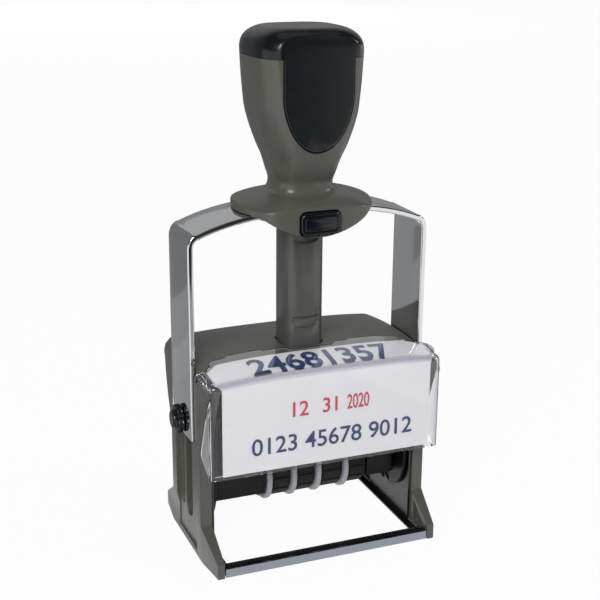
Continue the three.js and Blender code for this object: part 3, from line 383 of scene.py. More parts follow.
def drawn_group():
    """Fine drawn lines along one direction and faint rubs, for plated and rolled metal."""
    group, given, out = new_group(
        "drawn_lines",
        [
            ("Place", VECTOR, None), ("Stretch", VECTOR, (1, 1, 1)), ("Line Scale", FLOAT, 900.0),
            ("Roughness", FLOAT, 0.1), ("Rub", FLOAT, 0.05),
        ],
        [("Roughness", FLOAT), ("Height", FLOAT), ("Rub", FLOAT)],
    )
    pull = put(group, "ShaderNodeVectorMath", operation="MULTIPLY")
    wire(group, given.outputs["Place"], pull.inputs[0])
    wire(group, given.outputs["Stretch"], pull.inputs[1])
    lines = put(group, "ShaderNodeTexNoise", Detail=5.0, Roughness=0.65)
    wire(group, pull.outputs[0], lines.inputs["Vector"])
    wire(group, given.outputs["Line Scale"], lines.inputs["Scale"])
    rubs = put(group, "ShaderNodeTexNoise", Scale=75.0, Detail=6.0, Roughness=0.7)
    wire(group, given.outputs["Place"], rubs.inputs["Vector"])
    worn = sums(group, "MULTIPLY", sums(group, "SUBTRACT", rubs.outputs[0], 0.4), given.outputs["Rub"])
    lined = sums(group, "MULTIPLY", lines.outputs[0], given.outputs["Rub"])
    total = sums(group, "ADD", sums(group, "ADD", worn, lined), given.outputs["Roughness"])
    wire(group, total, out.inputs["Roughness"])
    wire(group, lines.outputs[0], out.inputs["Height"])
    wire(group, rubs.outputs[0], out.inputs["Rub"])
    return group


SKIN = surface_group()
DRAWN = drawn_group()


def blank(name):
    material = bpy.data.materials.new(name)
    material.use_nodes = True
    tree = material.node_tree
    tree.nodes.clear()
    shader = tree.nodes.new("ShaderNodeBsdfPrincipled")
    wire(tree, shader.outputs[0], tree.nodes.new("ShaderNodeOutputMaterial").inputs["Surface"])
    place = tree.nodes.new("ShaderNodeTexCoord").outputs["Object"]
    return material, tree, shader, place


def relief(tree, shader, height, distance, strength):
    bump = put(tree, "ShaderNodeBump", Strength=strength, Distance=distance)
    wire(tree, height, bump.inputs["Height"])
    wire(tree, bump.outputs[0], shader.inputs["Normal"])
    return bump


def moulded(name, colour, roughness, drift=0.06, grain=2400.0, depth=0.00002, strength=0.3, spread=0.12, **shader_values):
    material, tree, shader, place = blank(name)
    skin = tree.nodes.new("ShaderNodeGroup")
    skin.node_tree = SKIN
    wire(tree, place, skin.inputs["Place"])
    skin.inputs["Colour"].default_value = (*colour, 1)
    skin.inputs["Drift"].default_value = drift
    skin.inputs["Grain Scale"].default_value = grain
    skin.inputs["Roughness"].default_value = roughness
    skin.inputs["Gloss Spread"].default_value = spread
    wire(tree, skin.outputs["Colour"], shader.inputs["Base Color"])
    wire(tree, skin.outputs["Roughness"], shader.inputs["Roughness"])
    relief(tree, shader, skin.outputs["Height"], depth, strength)
    for socket, value in shader_values.items():
        shader.inputs[socket.replace("_", " ")].default_value = value
    return material


def metal(name, colour, roughness, stretch, rub, lines=900.0, strength=0.05):
    material, tree, shader, place = blank(name)
    drawn = tree.nodes.new("ShaderNodeGroup")
    drawn.node_tree = DRAWN
    wire(tree, place, drawn.inputs["Place"])
    drawn.inputs["Stretch"].default_value = stretch
    drawn.inputs["Line Scale"].default_value = lines
    drawn.inputs["Roughness"].default_value = roughness
    drawn.inputs["Rub"].default_value = rub
    shader.inputs["Metallic"].default_value = 1.0
    skin = tree.nodes.new("ShaderNodeGroup")
    skin.node_tree = SKIN
    wire(tree, place, skin.inputs["Place"])
    skin.inputs["Colour"].default_value = (*colour, 1)
    skin.inputs["Drift"].default_value = 0.05
    wire(tree, skin.outputs["Colour"], shader.inputs["Base Color"])
    wire(tree, drawn.outputs["Roughness"], shader.inputs["Roughness"])
    relief(tree, shader, drawn.outputs["Height"], 0.00001, strength)
    return material


def clear():
    """Clear moulding that lets lamp light through to the card, with painted shade on its rounded folds: a darker
    purple-grey tint.
    """
    material, tree, shader, place = blank("clear_cover_plastic")
    skin = tree.nodes.new("ShaderNodeGroup")
    skin.node_tree = SKIN
    wire(tree, place, skin.inputs["Place"])
    skin.inputs["Colour"].default_value = (0.93, 0.935, 0.955, 1)
    skin.inputs["Drift"].default_value = 0.02
    skin.inputs["Roughness"].default_value = 0.03
    skin.inputs["Gloss Spread"].default_value = 0.03
    # Painted shade: the rounded folds are tinted a darker purple-grey to stand in for the dark band light leaves along
    # them. The plastic itself has no such colour there.
    painted_fold_shade = put(tree, "ShaderNodeAttribute", attribute_name="painted_fold_shade")
    tint = put(tree, "ShaderNodeMix", data_type="RGBA", blend_type="MULTIPLY")
    for socket in tint.inputs:
        if socket.type == "RGBA" and socket.name == "B":
            socket.default_value = (0.44, 0.415, 0.48, 1)
        elif socket.type == "RGBA" and socket.name == "A":
            wire(tree, skin.outputs["Colour"], socket)
    wire(tree, painted_fold_shade.outputs["Fac"], tint.inputs[0])
    wire(tree, next(socket for socket in tint.outputs if socket.type == "RGBA"), shader.inputs["Base Color"])
    wire(tree, skin.outputs["Roughness"], shader.inputs["Roughness"])
    shader.inputs["IOR"].default_value = 1.49
    shader.inputs["Transmission Weight"].default_value = 1.0
    relief(tree, shader, skin.outputs["Height"], 0.00001, 0.04)
    path = tree.nodes.new("ShaderNodeLightPath")
    through = tree.nodes.new("ShaderNodeBsdfTransparent")
    mix = tree.nodes.new("ShaderNodeMixShader")
    wire(tree, sums(tree, "MAXIMUM", path.outputs["Is Shadow Ray"], path.outputs["Is Diffuse Ray"]), mix.inputs[0])
    wire(tree, shader.outputs[0], mix.inputs[1])
    wire(tree, through.outputs[0], mix.inputs[2])
    wire(tree, mix.outputs[0], next(node for node in tree.nodes if node.type == "OUTPUT_MATERIAL").inputs["Surface"])
    return material


GREY = moulded("warm_grey_moulding", (0.078, 0.0765, 0.065), 0.33, drift=0.16, grain=1900.0, strength=0.45)
POST_GREY = moulded("smooth_grey_post", (0.07, 0.0695, 0.064), 0.2, drift=0.06, strength=0.12)
BLACK = moulded("black_cap_moulding", (0.0032, 0.0056, 0.007), 0.26, drift=0.2, strength=0.2, Specular_IOR_Level=0.45)
BLACK_GLOSS = moulded("black_button_moulding", (0.0032, 0.0045, 0.0065), 0.2, drift=0.2, strength=0.1, Specular_IOR_Level=0.42)
BLACK_SATIN = moulded("black_inner_moulding", (0.006, 0.006, 0.006), 0.36, drift=0.25, strength=0.25, Specular_IOR_Level=0.22)
CHROME = metal("bright_chrome", (0.75, 0.755, 0.765), 0.06, (1, 0.05, 1), 0.05)
RAIL = metal("satin_rail", (0.285, 0.305, 0.345), 0.16, (0.03, 1, 1), 0.1, lines=1500.0)
PLATE = metal("dark_side_plate", (0.056, 0.06, 0.057), 0.2, (1, 1, 0.05), 0.15, lines=1500.0)
STEEL = metal("rolled_steel", (0.42, 0.42, 0.43), 0.26, (1, 1, 0.03), 0.14, lines=1600.0, strength=0.12)
CARD = moulded("white_card", (0.79, 0.775, 0.785), 0.6, drift=0.03, grain=5200.0, strength=0.2, Specular_IOR_Level=0.35)
CLEAR = clear()
FELT = moulded("inked_felt", (0.03, 0.032, 0.16), 0.92, drift=0.5, grain=3800.0, depth=0.00012, strength=0.8, Specular_IOR_Level=0.2)
RUBBER = moulded("dull_rubber", (0.011, 0.011, 0.0115), 0.7, drift=0.25, grain=3000.0, strength=0.4, Specular_IOR_Level=0.3)
WHEEL = moulded("pale_wheel_moulding", (0.47, 0.475, 0.51), 0.42, drift=0.08, strength=0.2)
BLUE_INK = moulded("blue_print", (0.007, 0.024, 0.1), 0.55, drift=0.5, grain=4200.0, strength=0.1)
RED_INK = moulded("red_print", (0.56, 0.03, 0.07), 0.55, drift=0.5, grain=4200.0, strength=0.1)


# Grip and collar in one skin


def collar_reach(angle):
    """Plan of the collar: round behind, a fuller round cut flat in front, with eased corners."""
    if math.sin(angle) >= 0:
        return squircle(angle, COLLAR_LONG, COLLAR_DEEP, COLLAR_POWER)
    full = squircle(angle, COLLAR_LONG, COLLAR_LONG, COLLAR_POWER)
    flat = COLLAR_DEEP / max(1e-4, -math.sin(angle))
    return (full**-18 + flat**-18) ** (-1 / 18)


def grip_reach(angle, height, proud=0.0):
    wide, deep = along(GRIP_SHARES, (height - GRIP_FOOT) / (PARTING - GRIP_FOOT))
    return squircle(angle, GRIP_HALF * wide + proud, GRIP_HALF * deep + proud, CORNER_POWER, GRIP_FLAT + proud)


def dome(angle, share):
    reach = collar_reach(angle) * share
    x, y = reach * math.cos(angle), min(0, reach * math.sin(angle))
    droop = CORNER_DROOP * (x / 17.2) ** 2 * (y / 18) ** 2
    return COLLAR_TOP - COLLAR_CROWN * share**CROWN_POWER - droop


def under(x):
    return min(COLLAR_LOW + COLLAR_ARCH * (x / COLLAR_LONG) ** 2, COLLAR_TOP - COLLAR_CROWN - COLLAR_RIM)


GRIP_COLUMNS = 168
HEM = 0.7
RIM_EASE = 0.55
FILLET = 2.3
STAGES = (
    [("under", s) for s in (0.2, 0.6, 0.93)] + [("hem", i / 4) for i in range(5)]
    + [("wall", i / 3) for i in range(1, 3)] + [("rim", i / 5) for i in range(6)]
    + [("dome", i / 14) for i in range(1, 15)] + [("fillet", i / 8) for i in range(1, 9)]
    + [("grip", i / 44) for i in range(1, 45)] + [("lip", 0.0), ("lip", 0.5)]
)


def bend(t, a, b, c):
    return (1 - t) ** 2 * a + 2 * t * (1 - t) * b + t**2 * c


def handle_point(column, row):
    kind, t = STAGES[row]
    angle = TAU * column / GRIP_COLUMNS
    c, s = math.cos(angle), math.sin(angle)
    edge = collar_reach(angle)
    low = under(edge * c)
    rim = dome(angle, 1)
    neck = grip_reach(angle, COLLAR_TOP)
    neck_up = dome(angle, neck / edge) + FILLET
    if kind == "under":
        reach, z = edge * t, under(edge * t * c)
    elif kind == "hem":
        reach = edge - HEM + HEM * math.sin(t * TAU / 4)
        z = low + HEM - HEM * math.cos(t * TAU / 4)
    elif kind == "wall":
        reach, z = edge, low + HEM + (rim - RIM_EASE - low - HEM) * t
    elif kind == "rim":
        reach = bend(t, edge, edge, edge - RIM_EASE)
        z = bend(t, rim - RIM_EASE, rim, dome(angle, (edge - RIM_EASE) / edge))
    elif kind == "dome":
        reach = edge - RIM_EASE + (neck + FILLET - edge + RIM_EASE) * t
        z = dome(angle, reach / edge)
    elif kind == "fillet":
        reach = bend(t, neck + FILLET, neck, grip_reach(angle, neck_up))
        z = bend(t, dome(angle, (neck + FILLET) / edge), dome(angle, neck / edge), neck_up)
    elif kind == "grip":
        z = neck_up + (PARTING - SEAM - neck_up) * t
        reach = grip_reach(angle, z)
    else:
        reach = (grip_reach(angle, PARTING) - 2 * SEAM) * (1 - t)
        z = PARTING
    return Vector((reach * c, reach * s, z))


def tongue_outline(spread, top, steps=22):
    """Outline (x, z): straight sides that close to a rounded tip."""
    half, low = TONGUE_HALF + spread, TONGUE_TIP + TONGUE_ROUND
    side = [(half, top), (half, (top + low) / 2), (half, low)]
    for i in range(1, steps):
        drop = math.sin(TAU / 4 * i / steps)
        side.append((half * math.sqrt(1 - drop**TONGUE_POWER), low - (TONGUE_ROUND + spread) * drop))
    other = [(-x, z) for x, z in reversed(side)]
    return side + [(0, TONGUE_TIP - spread)] + other


def button_outline(spread, corner=2.4, steps=6):
    half, tall, middle = 7.2 + spread, 4.0 + spread, 119.0
    points = []
    for sx, sz, start in ((1, 1, 0), (-1, 1, 1), (-1, -1, 2), (1, -1, 3)):
        for i in range(steps + 1):
            angle = TAU / 4 * (start + i / steps)
            x = sx * (half - corner) + corner * math.cos(angle)
            points.append((x, middle + sz * (tall - corner) + corner * math.sin(angle)))
    return points


def arch(x):
    return YOKE_TOP - YOKE_FALL * (abs(x) / (YOKE_HALF - YOKE_CORNER)) ** YOKE_POWER


def square_post(half, low, high, columns=96, rows=1):
    def point(column, row):
        angle = TAU * column / columns
        reach = squircle(angle, half, half, CORNER_POWER)
        return Vector((reach * math.cos(angle), reach * math.sin(angle), low + (high - low) * row / rows))
    return formed(columns, rows, point)


def grip():
    skin = formed(GRIP_COLUMNS, len(STAGES) - 1, handle_point)
    reach = COLLAR_LONG + 1
    room = [(reach * i / 24, arch(reach * i / 24) + GAP) for i in range(-24, 25)]
    room += [(reach, COLLAR_LOW - 1), (-reach, COLLAR_LOW - 1)]
    return carved(
        skin,
        square_post(7.85, COLLAR_LOW - 1, PARTING + 1),
        prism(room, -STRAP_HALF - GAP, STRAP_HALF + GAP, "y"),
        prism(tongue_outline(GAP, PARTING + 1), -GRIP_HALF - 1, -TONGUE_BACK + GAP, "y"),
        prism(button_outline(0.4), -COLLAR_DEEP - 1, -15.0, "y"),
        box(-4.3, 4.3, -16.0, -7.0, LATCH_LOW - GAP, LATCH_LOW + LATCH + GAP),
    )


def cap_point(column, row):
    angle = TAU * column / GRIP_COLUMNS
    c, s = math.cos(angle), math.sin(angle)
    low = PARTING + SEAM / 2
    if row <= 1:
        share, z = 1.0, low + SEAM * row
        front = s < 0 and abs(GRIP_HALF * c) < PANEL_HALF
        inset = 0.0 if front else 2 * SEAM * (1 - row)
    else:
        level = 0.03 + 0.97 * (1 - (1 - (row - 1) / (CAP_ROWS - 1)) ** 1.5)
        share = along(CAP_SHARES, level)[0]
        z, inset = low + (GRIP_TOP - low) * level, 0.0
    reach = squircle(angle, GRIP_HALF * share, GRIP_HALF * share, CORNER_POWER, GRIP_FLAT) - inset
    x, y = reach * c, reach * s
    if y < 0:
        across = 1 - smooth_step(PANEL_HALF - 0.35, PANEL_HALF + 0.35, abs(x))
        y -= PROUD * across * (1 - smooth_step(175.5, 180.0, z))
    return Vector((x, y, z))


CAP_ROWS = 40


def cap():
    plug = square_post(7.4, PARTING - 4.1, PARTING + 1.3)
    return carved(formed(GRIP_COLUMNS, CAP_ROWS, cap_point), plug, operation="UNION")


def front_of_grip(x, z):
    wide, deep = along(GRIP_SHARES, min(1, (z - GRIP_FOOT) / (PARTING - GRIP_FOOT)))
    a, b = GRIP_HALF * wide, GRIP_HALF * deep
    return -min(GRIP_FLAT, b * max(0.0, 1 - (abs(x) / a) ** CORNER_POWER) ** (1 / CORNER_POWER))


def tongue():
    top = PARTING + SEAM / 2
    outline = tongue_outline(0, top)
    count = len(outline)
    insets = [(0, None), (0, -0.3), (0.03, -0.1), (0.09, 0.14), (0.19, 0.28), (0.33, PROUD)]
    insets += [(0.5 + 11.2 * i / 10, PROUD) for i in range(11)]

    def point(column, row):
        x, z = outline[column % count]
        inset, proud = insets[row]
        share = 0.0 if row == len(insets) - 1 else 1 - inset / TONGUE_HALF
        x, z = x * share, top + (z - top) * share
        y = -TONGUE_BACK if proud is None else front_of_grip(x, z) - proud
        return Vector((x, y, z))

    return formed(count, len(insets) - 1, point)


def button():
    front = -19.9
    bm = prism(button_outline(0), front, front + 2.5, "y")
    face = min(bm.faces, key=lambda f: f.calc_center_median().y)
    bmesh.ops.inset_region(bm, faces=[face], thickness=1.15, depth=0, use_even_offset=True)
    bmesh.ops.inset_region(bm, faces=[face], thickness=0.3, depth=-0.35, use_even_offset=True)
    bmesh.ops.inset_region(bm, faces=[face], thickness=0.35, depth=0.18, use_even_offset=True)
    eased(bm, 0.55, 4, 60, lambda e: all(abs(v.co.y - front) < 0.01 for v in e.verts) and any(
        abs(f.normal.y) < 0.3 for f in e.link_faces) and max(abs(v.co.x) / 7.2 + 0 for v in e.verts) >= 0)
    bars = [box(-3.6 + k * 0.3, 3.6 + k * 0.3, front + 0.02, front + 0.3, 119 + k * 2.0 - 0.22, 119 + k * 2.0 + 0.22) for k in (-1, 0, 1)]
    bars = [eased(bar, 0.08, 2) for bar in bars]
    return joined(bm, *bars, box(-4, 4, front + 1.3, -8.3, LATCH_LOW, LATCH_LOW + LATCH))


# Yoke, post and what sits on them


def strap():
    span = YOKE_HALF - YOKE_CORNER
    leg_top = arch(span) - YOKE_CORNER_DROP

    def curve(inset):
        points = []
        for i in range(20, 0, -1):
            angle = TAU / 4 * i / 20
            points.append((span + (YOKE_CORNER - inset) * math.sin(angle), leg_top + (YOKE_CORNER_DROP - inset) * math.cos(angle)))
        points += [(span * i / 28, arch(span * i / 28) - inset) for i in range(28, -1, -1)]
        return points + [(-x, z) for x, z in reversed(points[:-1])]

    legs = [LEG_LOW + (leg_top - LEG_LOW) * i / 6 for i in range(6)]
    outer = [(YOKE_HALF, z) for z in legs] + curve(0) + [(-YOKE_HALF, z) for z in reversed(legs)]
    inner_half = YOKE_HALF - STRAP
    inner = [(inner_half, z) for z in legs] + curve(STRAP) + [(-inner_half, z) for z in reversed(legs)]
    bm = prism(outer + inner[::-1], -STRAP_HALF, STRAP_HALF, "y")
    bm = carved(bm, square_post(8.75, YOKE_TOP - 8, YOKE_TOP + 1), turned([(-50, 0), (-50, 2.3), (50, 2.3), (50, 0)], AXLE_UP))
    return eased(bm, 0.5, 4, 50, lambda e: all(abs(abs(v.co.y) - STRAP_HALF) < 0.01 for v in e.verts)
                 or all(abs(v.co.z - LEG_LOW) < 0.01 for v in e.verts))


def post():
    def notch(latch, run):
        top = latch + LATCH + 2 * GAP
        outline = [(NOTCH_HALF, top), (-NOTCH_HALF, top)]
        for i in range(25):
            angle = TAU / 2 * (1 + i / 24)
            outline.append((NOTCH_HALF * math.cos(angle), latch - run + NOTCH_ROUND * (1 + math.sin(angle))))
        return prism(outline, -8.4, -6.1, "y")

    bm = square_post(7.4, 68.1, 125.0)
    bore = formed(48, 1, lambda c, r: Vector((2.9 * math.cos(TAU * c / 48), 2.9 * math.sin(TAU * c / 48), 76 + 52 * r)))
    bm = carved(bm, notch(LATCH_LOW, 5.9), notch(LATCH_LOW - PRESS_TRAVEL, 2), bore)
    flange = eased(box(-11, 11, -11, 11, 68.1, 69.7), 0.3)
    return joined(eased(bm, 0.25, 3, 50), flange)


# Card and its print


def roof(x, y):
    deep = (y / ROOF_EDGE) ** 2
    wide = (abs(x) / HOUSING_HALF) ** 3
    return ROOF_CREST - 2.9 * deep - 2.4 * wide * (1 - 0.3 * deep)


CARD_FRONT = -27.6
CARD_FOLD = 1.6


def card():
    rows_up, rows_fold, rows_back = 8, 8, 12
    total = rows_up + rows_fold + rows_back

    def point(column, row):
        u = column / 40 * 2 - 1
        if row <= rows_up:
            x, y = u * 38.4 + 0.25, CARD_FRONT
            top = roof(x, -26) + 0.5 - CARD_FOLD
            return Vector((x, y, 36.8 + (top - 36.8) * row / rows_up))
        if row <= rows_up + rows_fold:
            t = (row - rows_up) / rows_fold
            x = u * (38.4 + 1.6 * t) + 0.25 * (1 - t)
            y = CARD_FRONT + CARD_FOLD * (1 - math.cos(t * TAU / 4))
            high = roof(x, y) + 0.5
            flat = roof(x, -26) + 0.5 - CARD_FOLD + CARD_FOLD * math.sin(t * TAU / 4)
            return Vector((x, y, flat * (1 - t**3) + high * t**3))
        t = (row - rows_up - rows_fold) / rows_back
        start = CARD_FRONT + CARD_FOLD
        y = start + (-13.4 - start) * t
        half = 40.0 - 4.4 * max(0.0, (y + 17.6) / 4.2)
        x = u * half
        return Vector((x, y, roof(x, y) + 0.5))

    bm = formed(40, total, point, closed=False)
    bmesh.ops.solidify(bm, geom=bm.faces[:], thickness=0.3)
    bmesh.ops.recalc_face_normals(bm, faces=bm.faces[:])
    return bm


COVER_HALF = 42.6
COVER_FRONT = -28.9
COVER_FOLD = 2.3
COVER_WALL = 0.9


def cover():
    """Clear shell with rounded folds, open behind and below, its flap stepped along the back."""
    high = 70.0
    bm = box(-COVER_HALF, COVER_HALF, COVER_FRONT, -4.0, 36.0, high)
    folds = [
        edge for edge in bm.edges
        if sum((
            all(abs(v.co.y - COVER_FRONT) < 0.1 for v in edge.verts),
            all(abs(v.co.z - high) < 0.1 for v in edge.verts),
            all(abs(abs(v.co.x) - COVER_HALF) < 0.1 for v in edge.verts) and abs(sum(v.co.x for v in edge.verts)) > 1,
        )) == 2
    ]
    bmesh.ops.bevel(
        bm, geom=folds, offset=COVER_FOLD, offset_type="OFFSET", segments=6, profile=0.5,
        affect="EDGES", clamp_overlap=True, material=-1,
    )
    open_faces = [face for face in bm.faces if face.normal.z < -0.9 or face.normal.y > 0.9]
    bmesh.ops.delete(bm, geom=open_faces, context="FACES")
    for i in range(-12, 13):
        bmesh.ops.bisect_plane(bm, geom=bm.verts[:] + bm.edges[:] + bm.faces[:], dist=0.0001,
                               plane_co=(i * 3.2 + 0.7, 0, 0), plane_no=(1, 0, 0))
    for i in range(1, 7):
        bmesh.ops.bisect_plane(bm, geom=bm.verts[:] + bm.edges[:] + bm.faces[:], dist=0.0001,
                               plane_co=(0, -26.0 + 3.2 * i, 0), plane_no=(0, 1, 0))
    for vert in bm.verts:
        x, y, z = vert.co
        vert.co.z = 36 + (z - 36) * (roof(x, y) + 1.9 - 36) / (high - 36)
    bmesh.ops.recalc_face_normals(bm, faces=bm.faces[:])
    if next(face for face in bm.faces if abs(face.normal.y) > 0.99).normal.y > 0:
        bmesh.ops.reverse_faces(bm, faces=bm.faces[:])
    bmesh.ops.solidify(bm, geom=bm.faces[:], thickness=COVER_WALL)
    bmesh.ops.recalc_face_normals(bm, faces=bm.faces[:])
    steps = [
        (-43, -17.3), (-39.6, -16.9), (-38.1, -15.3), (-38.1, -13), (-36, -11), (-31.2, -10.9), (-30.4, -9.6),
        (-18.6, -9.6), (-17.6, -10.6), (-9.6, -10.6), (-7.6, -13), (7.2, -13), (9.4, -10.6), (14.2, -10.6),
        (14.9, -9.6), (26, -9.6), (33, -11.2), (34.6, -15.4), (39.4, -16.9), (43, -17.3), (43, 0), (-43, 0),
    ]
    behind = prism(steps, 30, 80, "z")
    walls = []
    for side in (-1, 1):
        back = [(-25.9, 35), (-25.9, 36), (-17.85, 40.5), (-17.85, 42.7), (-27.3, 66.0), (0, 66.0), (0, 35)]
        ends = sorted((side * 38.5, side * 44))
        walls.append(prism(back, ends[0], ends[1], "x"))
    shell = carved(bm, behind, *walls)
    lip = carved(
        box(-COVER_HALF + 2, COVER_HALF - 2, COVER_FRONT + 0.1, COVER_FRONT + 3, 36.0, 36.5),
        box(-4.5, 4.5, COVER_FRONT + COVER_WALL, 0, 35, 38),
    )
    ears = []
    for side in (-1, 1):
        tab = [(41.2, -25.5), (43.4, -21.5), (44.7, -18.4), (44.2, -17.0), (42.9, -16.4), (40.4, -16.9), (39.8, -25.5)]
        ear = prism([(side * x, y) for x, y in tab], 69.75, 70.65, "z")
        for vert in ear.verts:
            vert.co.z += roof(vert.co.x, vert.co.y) - roof(42, -20) - 0.35 * max(0.0, abs(vert.co.x) - 42)
        ears.append(ear)
    shell = carved(shell, lip, *ears, operation="UNION")
    bmesh.ops.remove_doubles(shell, verts=shell.verts[:], dist=0.12)
    bmesh.ops.dissolve_degenerate(shell, edges=shell.edges[:], dist=0.01)
    bmesh.ops.recalc_face_normals(shell, faces=shell.faces[:])
    return shell


def fold_shade_weight(point):
    """How far a point of the shell is into one of its rounded folds, from 0 to 1, which weighs the painted shade on the
    folds.
    """
    reach = COVER_FOLD + 0.1
    front = (point.y - COVER_FRONT) / reach
    top = (roof(point.x, point.y) + 1.9 - point.z) / reach
    side = (COVER_HALF - abs(point.x)) / reach
    shares = []
    for a, b in ((front, top), (front, side), (top, side)):
        shares.append(max(0.0, min(1.0, 1.6 * min(1 - a, 1 - b, 0.6) + 0.05)) if max(a, b) < 1 else 0.0)
    return max(shares)


def numbers(text, place, cuts=(), weight=0.0):
    """Plain figures as a thin layer of print; place(u, v) takes shares of their width and height to the card."""
    curve = bpy.data.curves.new("figures", "FONT")
    curve.body = text
    curve.offset = weight
    curve.fill_mode = "FRONT"
    thing = bpy.data.objects.new("figures", curve)
    bpy.context.scene.collection.objects.link(thing)
    bpy.context.view_layer.update()
    mesh = bpy.data.meshes.new_from_object(thing.evaluated_get(bpy.context.evaluated_depsgraph_get()))
    bm = bmesh.new()
    bm.from_mesh(mesh)
    bpy.data.objects.remove(thing)
    bpy.data.curves.remove(curve)
    bpy.data.meshes.remove(mesh)
    bmesh.ops.remove_doubles(bm, verts=bm.verts[:], dist=0.0001)
    low = Vector((min(v.co.x for v in bm.verts), min(v.co.y for v in bm.verts), 0))
    high = Vector((max(v.co.x for v in bm.verts), max(v.co.y for v in bm.verts), 1))
    for share in cuts:
        bmesh.ops.bisect_plane(
            bm, geom=bm.verts[:] + bm.edges[:] + bm.faces[:], dist=0.00001,
            plane_co=(0, low.y + (high.y - low.y) * share, 0), plane_no=(0, 1, 0),
        )
    for vert in bm.verts:
        vert.co = place((vert.co.x - low.x) / (high.x - low.x), (vert.co.y - low.y) / (high.y - low.y))
    bmesh.ops.remove_doubles(bm, verts=bm.verts[:], dist=0.012)
    bmesh.ops.dissolve_degenerate(bm, edges=bm.edges[:], dist=0.01)
    bmesh.ops.solidify(bm, geom=bm.faces[:], thickness=0.05)
    bmesh.ops.recalc_face_normals(bm, faces=bm.faces[:])
    return bm


def on_face(x0, x1, z0, z1):
    return lambda u, v: Vector((x0 + (x1 - x0) * u, CARD_FRONT - 0.19, z0 + (z1 - z0) * v))


def on_slope(x0, x1, y0, y1):
    def place(u, v):
        x, y = x0 + (x1 - x0) * u, y0 + (y1 - y0) * v
        return Vector((x, y, roof(x, y) + 0.69))
    return place


# Wheels, bands, nuts


def toothed(radius, teeth, depth, height):
    points = []
    for i in range(teeth * 4):
        angle = TAU * i / (teeth * 4)
        reach = radius - depth * (0.5 - 0.5 * math.cos(TAU * i / 4))
        points.append((reach * math.cos(angle), height + reach * math.sin(angle)))
    return points


def wheel(x, hub):
    disc = prism(toothed(WHEEL_RADIUS, 48, 0.22, WHEEL_UP), x - WHEEL_HALF, x + WHEEL_HALF, "x")
    disc = eased(disc, 0.42, 4, 60)
    bore = turned([(-12, 0), (-12, 1.9), (12, 1.9), (12, 0)], WHEEL_UP, 32, x)
    core = turned([(0, 0), (0, DRUM_RADIUS), (WHEEL_HALF + hub, DRUM_RADIUS), (WHEEL_HALF + hub, 0)], WHEEL_UP, 48, x)
    return carved(carved(disc, core, operation="UNION"), bore)


def belt_outline(drum, bridge, steps=20):
    tilt = math.asin((drum - bridge) / (BRIDGE_UP - WHEEL_UP))
    points = []
    for i in range(steps + 1):
        angle = tilt + (math.pi - 2 * tilt) * i / steps
        points.append((bridge * math.cos(angle), BRIDGE_UP + bridge * math.sin(angle)))
    for i in range(steps + 1):
        angle = math.pi - tilt + (math.pi + 2 * tilt) * i / steps
        points.append((drum * math.cos(angle), WHEEL_UP + drum * math.sin(angle)))
    return points


def belt(x, hub):
    """Rubber loop with a row of raised blank pads."""
    start, end = x + WHEEL_HALF + 0.4, x + WHEEL_HALF + hub - 0.2
    outer = prism(belt_outline(DRUM_RADIUS + 0.9, BRIDGE_RADIUS + 0.9), start, end, "x")
    inner = prism(belt_outline(DRUM_RADIUS + 0.3, BRIDGE_RADIUS + 0.3), start - 1, end + 1, "x")
    loop = carved(outer, inner)
    path = belt_outline(DRUM_RADIUS + 0.9, BRIDGE_RADIUS + 0.9, 60)
    path.append(path[0])
    lengths = [0.0]
    for (a, b), (c, d) in zip(path, path[1:]):
        lengths.append(lengths[-1] + math.hypot(c - a, d - b))
    pads = []
    count = 24
    for k in range(count):
        want = lengths[-1] * (k + 0.5) / count
        i = next(j for j in range(len(path) - 1) if lengths[j + 1] >= want)
        t = (want - lengths[i]) / (lengths[i + 1] - lengths[i])
        y = path[i][0] + (path[i + 1][0] - path[i][0]) * t
        z = path[i][1] + (path[i + 1][1] - path[i][1]) * t
        turn = math.atan2(path[i + 1][1] - path[i][1], path[i + 1][0] - path[i][0])
        pad = box(start + 0.5, end - 0.5, -1.5, 1.5, -0.39, 0.3)
        eased(pad, 0.12, 2)
        bmesh.ops.rotate(pad, cent=(0, 0, 0), matrix=Matrix.Rotation(turn, 3, "X"), verts=pad.verts[:])
        bmesh.ops.translate(pad, vec=(0, y, z), verts=pad.verts[:])
        pads.append(pad)
    return joined(loop, *pads)


def nut(side):
    inner = YOKE_HALF + GAP
    ring = prism(toothed(5.1, 20, 0.36, AXLE_UP), inner, inner + 2.1, "x")
    eased(ring, 0.35, 3, 60)
    dome_cap = turned(
        [(inner + 1, 0), (inner + 1, 3.5), (inner + 2.7, 3.5), (inner + 3.1, 3.35), (inner + 3.35, 3.0), (inner + 3.4, 2.5), (inner + 3.4, 0)],
        AXLE_UP, 48,
    )
    bm = joined(ring, dome_cap)
    if side < 0:
        bmesh.ops.scale(bm, vec=(-1, 1, 1), verts=bm.verts[:])
        bmesh.ops.reverse_faces(bm, faces=bm.faces[:])
    return bm


def spring():
    """One wire wound round the guide rod."""
    low, high, turns = 125.9, 167.8, 7
    bm = bmesh.new()
    wire_ring = bmesh.ops.create_circle(
        bm, cap_ends=False, radius=0.6, segments=12,
        matrix=Matrix.Translation((5.0, 0, low)) @ Matrix.Rotation(TAU / 4, 4, "X"),
    )["verts"]
    edges = list({edge for vert in wire_ring for edge in vert.link_edges})
    bmesh.ops.spin(
        bm, geom=wire_ring + edges, cent=(0, 0, 0), axis=(0, 0, 1), dvec=(0, 0, (high - low) / (turns * 36)),
        angle=TAU * turns, steps=turns * 36, use_merge=False, use_duplicate=False,
    )
    bmesh.ops.holes_fill(bm, edges=bm.edges[:], sides=0)
    bmesh.ops.recalc_face_normals(bm, faces=bm.faces[:])
    return bm


def felt():
    bm = box(-30.7, 30.7, -17.4, 17.4, 61.85, 64.45)
    return eased(bm, 0.5, 3)


